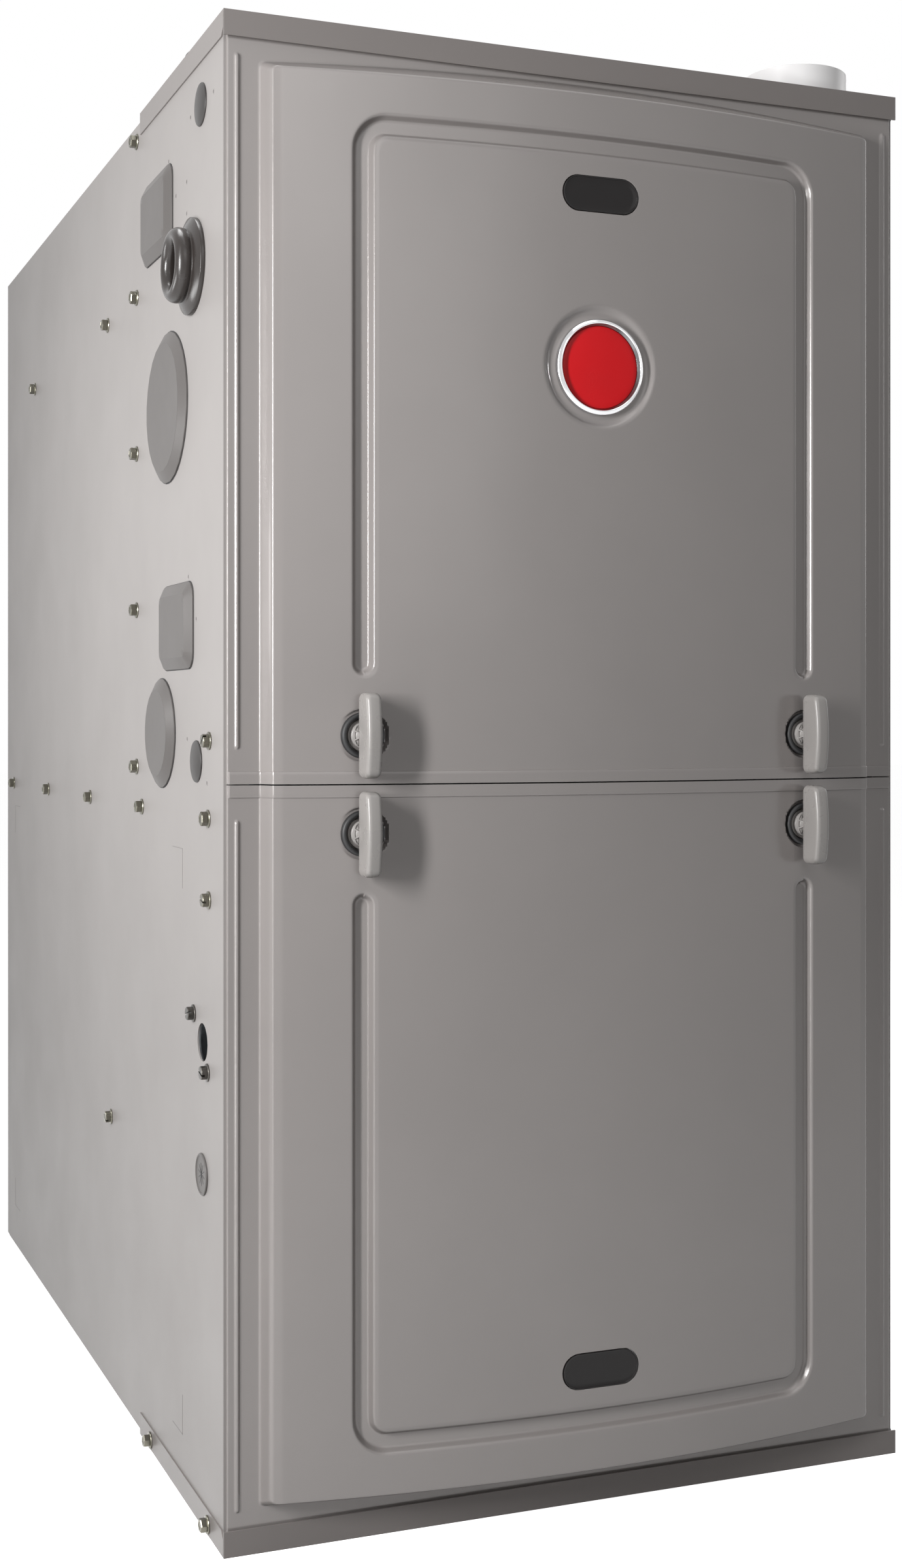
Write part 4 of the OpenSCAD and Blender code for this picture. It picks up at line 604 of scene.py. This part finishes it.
for which in ("upper", "lower"):
    sign = 1 if which == "upper" else -1
    z = SEAM[which] + sign * LATCH_U
    rings, bushes = [], []
    for side, x in (("left", -LATCH_X), ("right", LATCH_X)):
        node = which + "_" + side + "_latch"
        body = joined([placed(q, on_front(x, REAR_Y, z)) for q in latch_parts()])
        handle = new_object(node + "_handle", *body, "latch_plastic", node, smooth=40)
        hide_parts(node)
        rings.append(placed(revolve([(9.75, 0.1), (9.75, 1.5), (9.95, 2.3), (10.5, 2.95), (11.3, 3.2),
                                     (12.1, 2.95), (12.75, 2.3), (13.0, 1.5), (13.0, 0.1), (9.75, 0.1)], 56),
                            on_front(x, FLAT_Y, z)))
        bushes.append(placed(revolve([(4.1, 0.1), (4.1, 1.0), (4.3, 1.2), (8.7, 1.2), (9.0, 1.05), (9.0, 0.1),
                                      (6.0, 0.05), (6.0, -2.8), (4.1, -2.8), (4.1, 0.1)], 44),
                             on_front(x, FLAT_Y, z)))
    ring = new_object(which + "_latch_ring", *joined(rings), "black_rubber", which + "_door", smooth=50)
    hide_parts(which + "_latch_rings")
    new_object(which + "_latch_bush", *joined(bushes), "taupe_plastic", which + "_door", slot="latch_plastic")
    # sight glass: dark pane in a fine rim
    pane = loft([rrect(48.8, 20.8, 10.4, -3.0, 14), rrect(48.8, 20.8, 10.4, -0.30, 14),
                 rrect(48.5, 20.5, 10.25, -0.02, 14), rrect(47.9, 19.9, 9.95, 0.06, 14),
                 rrect(47.3, 19.3, 9.65, -0.06, 14), rrect(46.9, 18.9, 9.45, -0.38, 14),
                 rrect(46.3, 18.3, 9.15, -0.52, 14), rrect(40, 12, 6, -0.53, 14)])
    pane = placed(pane, on_front(0, BORDER_Y - CROWN, SEAM[which] + sign * SIGHT_U))
    glass = new_object(which + "_sight_pane", *pane, "smoked_glass", which + "_door", smooth=32)
    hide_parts(which + "_sight_glass")

BADGE = on_front(0, BADGE_Y, SEAM["upper"] + BADGE_U)
bezel = revolve([(24.15, 0), (24.15, 1.55), (24.45, 2.0), (25.75, 4.0), (26.05, 4.17), (26.4, 4.08),
                 (27.9, 2.9), (28.2, 2.5), (28.25, 2.1), (28.25, 0), (24.15, 0)], 128)
inner = revolve([(24.12, 0.3), (24.12, 1.62), (24.42, 2.06), (25.45, 3.66), (25.2, 3.2), (24.6, 1.0),
                 (24.12, 0.3)], 128)
# the bezel's inner slope in a darker copy of its chrome: painted shade
new_object("badge_bezel_bevel", *placed(inner, BADGE), "dark_chrome", "upper_door", slot="badge_trim",
           smooth=50)
bezel = new_object("badge_bezel", *placed(bezel, BADGE), "badge_trim", "upper_door", smooth=50)
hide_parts("badge")
disc = revolve([(0, 2.35), (6, 2.32), (12, 2.22), (17, 2.06), (21, 1.86), (23.4, 1.68), (24.1, 1.4),
                (24.1, 0), (0, 0)], 96)
new_object("badge_disc", *placed(disc, BADGE), "button_red", "upper_door", smooth=60)

# ------------------------------------------------------- side wall fittings
# Each sits at (y, z). ROUND adds a radius, HEX how far its seat stands out, SCORES the ways its marks run.
ROUND = ((-233.0, 662.0, 46.75), (-216.0, 460.0, 34.25))
HATCH = ((-206.7, 786.9), (-256.0, 525.0))
HATCH_SIZE = (74.5, 52.0)
KNOCKOUT = ((-310.0, 827.5), (-300.0, 444.0))
HEX = ([(-147, z, 0) for z in (851, 747.7, 644.3, 540.9, 437.4)] +
       [(y, 411.5, 0) for y in (-325.6, -161.95, 1.7, 165.35, 329)] +
       [(-58.3, 746.3, 0), (225.4, 746.3, 0), (-189, 6, 1), (-328, 6, 1)])
SLOTTED = ((-328, 456.4), (-327, 364.7), (-69, 190.5))
DARK_SLOTTED = ((-293.4, 294.9), (-324.2, 265.0))
STAR = (-313.0, 204.0)
GAS_HOLE = (-291, 737)
DIMPLES = ((-337, 827), (-286, 827), (-233, 815), (-277, 791), (-251, 789), (-277, 772), (-281, 554),
           (-299, 528), (-278, 457), (-323, 432))
SCORE_LEN = 24
SCORES = ((-267, 390.6, 1, -1), (322, 391.5, -1, -1), (-267, 36.5, 1, 1), (322, 36.5, -1, 1))


def polygon(r, h, n, start=0.0):
    """A loop of n corners at radius r and height h."""
    turns = [2 * PI * (k + start) / n for k in range(n)]
    return [(r * math.cos(a), r * math.sin(a), h) for a in turns]


def faceted_cover(r):
    """A round plug with a bevel of 24 flats."""
    def ring(q, h):
        return polygon(q, h, 24, 0.5)
    return loft([ring(r - 8, -4), ring(r - 8, 0), ring(r, 0.1), ring(r, 0.9), ring(r - 0.25, 1.15),
                 ring(r - 6.6, 4.42), ring(r - 7.0, 4.55), ring(r - 7.0, 4.6)])


def hatch_cover():
    """A rounded rectangular plug with a wide bevel."""
    w, h = HATCH_SIZE
    return loft([rrect(w - q, h - q, r, z, 4)
                 for q, r, z in ((16, 4, -6), (16, 4, 0), (0, 9.5, 0.1), (0, 9.5, 0.9), (0.5, 9.3, 1.2),
                                 (13.2, 4.2, 4.4), (13.9, 4.0, 4.55), (22, 3, 4.6))])


def slotted_head():
    """A washer and the two halves of a head beside its slot."""
    parts = [revolve([(0, 0.05), (5.2, 0.05), (5.2, 0.7), (4.9, 1.05), (3.9, 1.2), (3.9, 2.6), (0, 2.6)], 32)]
    for s in (0, PI):
        a0 = math.asin(0.6 / 3.9)
        arc = [a0 + (PI - 2 * a0) * k / 14 + s for k in range(15)]
        parts.append(loft([[(q * math.cos(a), q * math.sin(a), h) for a in arc]
                           for q, h in ((3.9, 2.6), (3.9, 4.2), (3.55, 4.6))]))
    return parts


def hex_head():
    """A washer and a hexagonal head with a dished top."""
    return [revolve([(0, 0.05), (5.2, 0.05), (5.25, 0.55), (5.0, 0.95), (3.6, 1.35), (0, 1.35)], 36),
            loft([polygon(q, h, 6) for q, h in ((4.1, 1.0), (4.15, 4.3), (3.75, 4.85), (2.7, 5.0), (2.3, 4.7),
                                                (1.2, 4.5))])]


groups = {k: [] for k in ("round", "hatch", "knockout", "star", "slits", "hex", "slotted", "dark", "dimple",
                          "score", "painted_shadow_gap", "pit_shade")}
for side in (-1, 1):
    for y, z, r in ROUND:
        here = on_wall(side, y, z)
        groups["round"].append(placed(faceted_cover(r), here))
        # a dark ring at each round cover's foot: painted shadow in the gap under the cover's edge
        shadow_ring = revolve([(r - 3, 0.02), (r + 0.45, 0.02), (r + 0.45, 0.16), (r - 3, 0.16)], 48)
        groups["painted_shadow_gap"].append(placed(shadow_ring, here))
    for y, z in HATCH:
        here = on_wall(side, y, z)
        groups["hatch"].append(placed(hatch_cover(), here))
        w, h = HATCH_SIZE
        # a dark ring at each hatch cover's foot: painted shadow in the gap under the cover's edge
        shadow_ring = loft([rrect(w - q, h - q, r, t, 6) for q, r, t in ((12, 5, 0.02), (-0.9, 10, 0.02),
                                                                  (-0.9, 10, 0.16), (12, 5, 0.16))], False)
        groups["painted_shadow_gap"].append(placed(shadow_ring, here))
    for y, z in KNOCKOUT:
        dome = revolve([(0, -4), (10.2, -4), (10.2, 0), (12.5, 0.1), (12.5, 0.5), (12.1, 0.95), (9.5, 1.55),
                        (6.5, 1.95), (3, 2.17), (0, 2.2)], 48)
        groups["knockout"].append(placed(dome, on_wall(side, y, z)))
    star = revolve([(0, -3), (10.2, -3), (10.2, 0), (12.2, 0.1), (12.2, 0.8), (11.9, 1.2), (11.2, 1.3),
                    (10.7, 1.0), (10.5, 0.75), (3, 0.7), (0, 0.62)], 48)
    groups["star"].append(placed(star, on_wall(side, *STAR)))
    for k in range(5):
        slit = block(-6.6, 6.6, -0.2, 0.2, 0.3, 0.82)
        groups["slits"].append(placed(slit, on_wall(side, *STAR, PI * k / 5 + 0.2)))
    for y, z, lift in HEX:
        # each screw stops at a turn of its own
        here = on_wall(side, y, z, 0.35 + 0.7 * math.sin(y * 3 + z))
        for verts, faces in hex_head():
            groups["hex"].append(placed(([(a, b, h + lift) for a, b, h in verts], faces), here))
    for y, z in SLOTTED:
        groups["slotted"] += [placed(q, on_wall(side, y, z, 0.5 + y)) for q in slotted_head()]
    for y, z in DIMPLES:
        here = on_wall(side, y, z)
        dimple = revolve([(1.9, 0.01), (1.7, 0.14), (1.35, 0.14), (1.15, 0.04), (0, 0.03)], 16)
        groups["dimple"].append(placed(dimple, here))
        # a dark disc in each dimple's middle: painted shade in the pit
        groups["pit_shade"].append(placed(revolve([(1.15, 0.045), (0.6, 0.05), (0, 0.05)], 12), here))
    # score marks: thin strips darker than the wall, painted shade in the pressed lines
    for y, z, sy, sz in SCORES:
        here = on_wall(side, y, z)
        groups["score"].append(placed(block(*sorted((0, sy * SCORE_LEN)), -0.3, 0.3, 0.01, 0.1), here))
        groups["score"].append(placed(block(-0.3, 0.3, *sorted((0, sz * SCORE_LEN)), 0.01, 0.1), here))
for y, z in DARK_SLOTTED:
    groups["dark"] += [placed(q, on_wall(-1, y, z, 0.9 + y)) for q in slotted_head()]


SLOTS = {m["slot"] for m in frame["record"]["materials"]}


def fitting(name, key, material, smooth, *nodes):
    """One piece from a group of fittings; it may replace CAD nodes."""
    ob = new_object(name, *joined(groups[key]), material, "cabinet",
                    slot=None if material in SLOTS else "case_paint", smooth=smooth)
    if nodes:
        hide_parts(*nodes)


fitting("round_cover_plates", "round", "cover_paint", 12, "round_covers")
fitting("hatch_cover_plates", "hatch", "cover_paint", 20, "hatch_covers")
# dark rings round the covers' feet: painted shadow in the gaps under their edges
fitting("cover_painted_shadow_gaps", "painted_shadow_gap", "black_rubber", 30)
fitting("knockout_domes", "knockout", "dome_plastic", 35, "knockout_plugs")
fitting("star_grommets", "star", "cover_paint", 35, "cable_grommets")
fitting("star_grommet_slits", "slits", "black_rubber", 30)
fitting("hex_screws", "hex", "zinc_plate", 25, "panel_screws")
fitting("slotted_screws_zinc", "slotted", "zinc_plate", 30)
fitting("slotted_screws_dark", "dark", "screw_dark", 30)
fitting("wall_dimples", "dimple", "case_paint", 60)
# dark discs in the dimples: painted shade in the pits
fitting("wall_dimple_painted_shade", "pit_shade", "cover_paint", 60)
# the score marks' darker strips are painted shade in the pressed lines
fitting("score_marks", "score", "case_line", 30)

lip = [(17.35 + 4.75 * math.cos(a), 9.3 + 5.95 * math.sin(a))
       for a in (math.radians(-30 + 230 * k / 20) for k in range(21))]
grommet = ([(14.2, -6), (20.8, -6), (20.8, -1.3), (21.8, -1.2), (21.8, 0.1), (28.5, 0.1), (28.5, 2.65),
            (28.25, 2.95), (22.6, 5.6), (22.0, 5.75)] + lip + [(12.9, 6.5), (13.3, 2), (14.2, -6)])
grommet = placed(revolve(grommet, 72), on_wall(-1, *GAS_HOLE))
grommet = new_object("side_grommet_body", *grommet, "grey_rubber", "cabinet", smooth=40)
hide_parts("side_grommet")

# folded sheet and cast parts have small round edges where the solids have sharp ones
for node, width in (("top_cap", 0.45), ("base_rail", 0.45), ("casing_wrap", 0.45), ("side_walls", 0.45),
                    ("vent_socket", 0.5), ("air_inlet_collar", 0.6), ("center_rail", 0.4), ("gas_knob", 0.8),
                    ("gas_valve", 1.0), ("control_panel", 0.4), ("junction_box", 0.4), ("blower_deck", 0.4)):
    mod = NODES[node].modifiers.new("bends", "BEVEL")
    mod.width, mod.segments, mod.limit_method, mod.angle_limit = width * MM, 3, "ANGLE", math.radians(40)
    mod.harden_normals = False


# ------------------------------------------------------------------- stage
def seen_directly(tree, socket):
    """Feeds a socket with 1 for sight by the camera, in a gloss or through glass, else 0."""
    path = tree.nodes.new("ShaderNodeLightPath")
    last = path.outputs["Is Camera Ray"]
    for name in ("Is Glossy Ray", "Is Transmission Ray"):
        add_up = tree.nodes.new("ShaderNodeMath")
        add_up.operation, add_up.use_clamp = "ADD", True
        tree.links.new(last, add_up.inputs[0])
        tree.links.new(path.outputs[name], add_up.inputs[1])
        last = add_up.outputs[0]
    tree.links.new(last, socket)


FLOOR_HALF = 15
floor_mesh = bpy.data.meshes.new("floor")
corners = [(sx * FLOOR_HALF, sy * FLOOR_HALF, 0) for sx, sy in ((-1, -1), (1, -1), (1, 1), (-1, 1))]
floor_mesh.from_pydata(corners, [], [(0, 1, 2, 3)])
floor = bpy.data.objects.new("floor", floor_mesh)
bpy.context.scene.collection.objects.link(floor)

# The camera and the glosses see a glowing white floor with its shadow; other light meets a dull one
fm = Mat("floor_white", (0.9, 0.9, 0.9), 0.9)
fm.set("Specular IOR Level", 0.1)
fm.bump(fm.noise(40, 2, 0.5), 0.02, 0.001)
glow = fm.node("Emission")
glow.inputs["Color"].default_value = (1, 1, 1, 1)
glow.inputs["Strength"].default_value = 0.86
add = fm.node("AddShader")
mixer = fm.node("MixShader")
fm.link(fm.bsdf.outputs["BSDF"], add.inputs[0])
fm.link(glow.outputs["Emission"], add.inputs[1])
seen_directly(fm.nt, mixer.inputs["Fac"])
plain = fm.node("BsdfDiffuse")
plain.inputs["Color"].default_value = (0.18, 0.18, 0.18, 1)
fm.link(plain.outputs["BSDF"], mixer.inputs[1])
fm.link(add.outputs["Shader"], mixer.inputs[2])
out = fm.nt.nodes["Material Output"]
fm.link(mixer.outputs["Shader"], out.inputs["Surface"])
floor.data.materials.append(fm.mat)

world = bpy.data.worlds.new("studio")
bpy.context.scene.world = world
world.use_nodes = True
nt = world.node_tree
bg = nt.nodes["Background"]
bg.inputs["Color"].default_value = (1, 0.995, 0.985, 1)
bg.inputs["Strength"].default_value = 0.10
white = nt.nodes.new("ShaderNodeBackground")
white.inputs["Color"].default_value = (1, 1, 1, 1)
white.inputs["Strength"].default_value = 1.0
mixw = nt.nodes.new("ShaderNodeMixShader")
seen_directly(nt, mixw.inputs["Fac"])
nt.links.new(bg.outputs["Background"], mixw.inputs[1])
nt.links.new(white.outputs["Background"], mixw.inputs[2])
nt.links.new(mixw.outputs["Shader"], nt.nodes["World Output"].inputs["Surface"])


def softbox(name, loc, target, size, power):
    """A rectangular studio light that faces a target point."""
    data = bpy.data.lights.new(name, "AREA")
    data.shape = "RECTANGLE"
    data.size, data.size_y = size
    data.energy = power
    ob = bpy.data.objects.new(name, data)
    ob.location = loc
    aim = Vector(target) - Vector(loc)
    ob.rotation_euler = aim.to_track_quat("-Z", "Y").to_euler()
    bpy.context.scene.collection.objects.link(ob)


softbox("key_left", (-1.06, -0.84, 0.70), (0.05, -0.30, 0.66), (0.12, 0.50), 12.5)
softbox("key_strip", (-1.00, -0.80, 0.66), (-0.15, -0.32, 0.66), (0.05, 1.50), 3.0)
softbox("side_strip", (-0.70, -0.06, 0.58), (-0.22, -0.06, 0.58), (0.4, 0.12), 1.3)
softbox("front_wide", (0.0, -3.0, 1.5), (0, -0.36, 0.6), (1.6, 1.6), 5.5)
softbox("upper_fill", (-0.25, -1.35, 1.25), (0.08, -0.36, 0.72), (0.5, 0.5), 0.8)
softbox("back_fill", (1.3, 1.7, 1.5), (0, 0.1, 0.45), (1.2, 1.2), 9.0)
softbox("right_fill", (1.9, -0.2, 1.1), (0.2, 0, 0.45), (1.0, 1.0), 4.5)
softbox("overhead", (0.1, -0.9, 2.6), (0, -0.2, 0.5), (1.2, 1.2), 5.5)
softbox("cap_top", (-0.2, 0.1, 1.9), (0.05, -0.1, 0.88), (0.9, 0.5), 11.0)
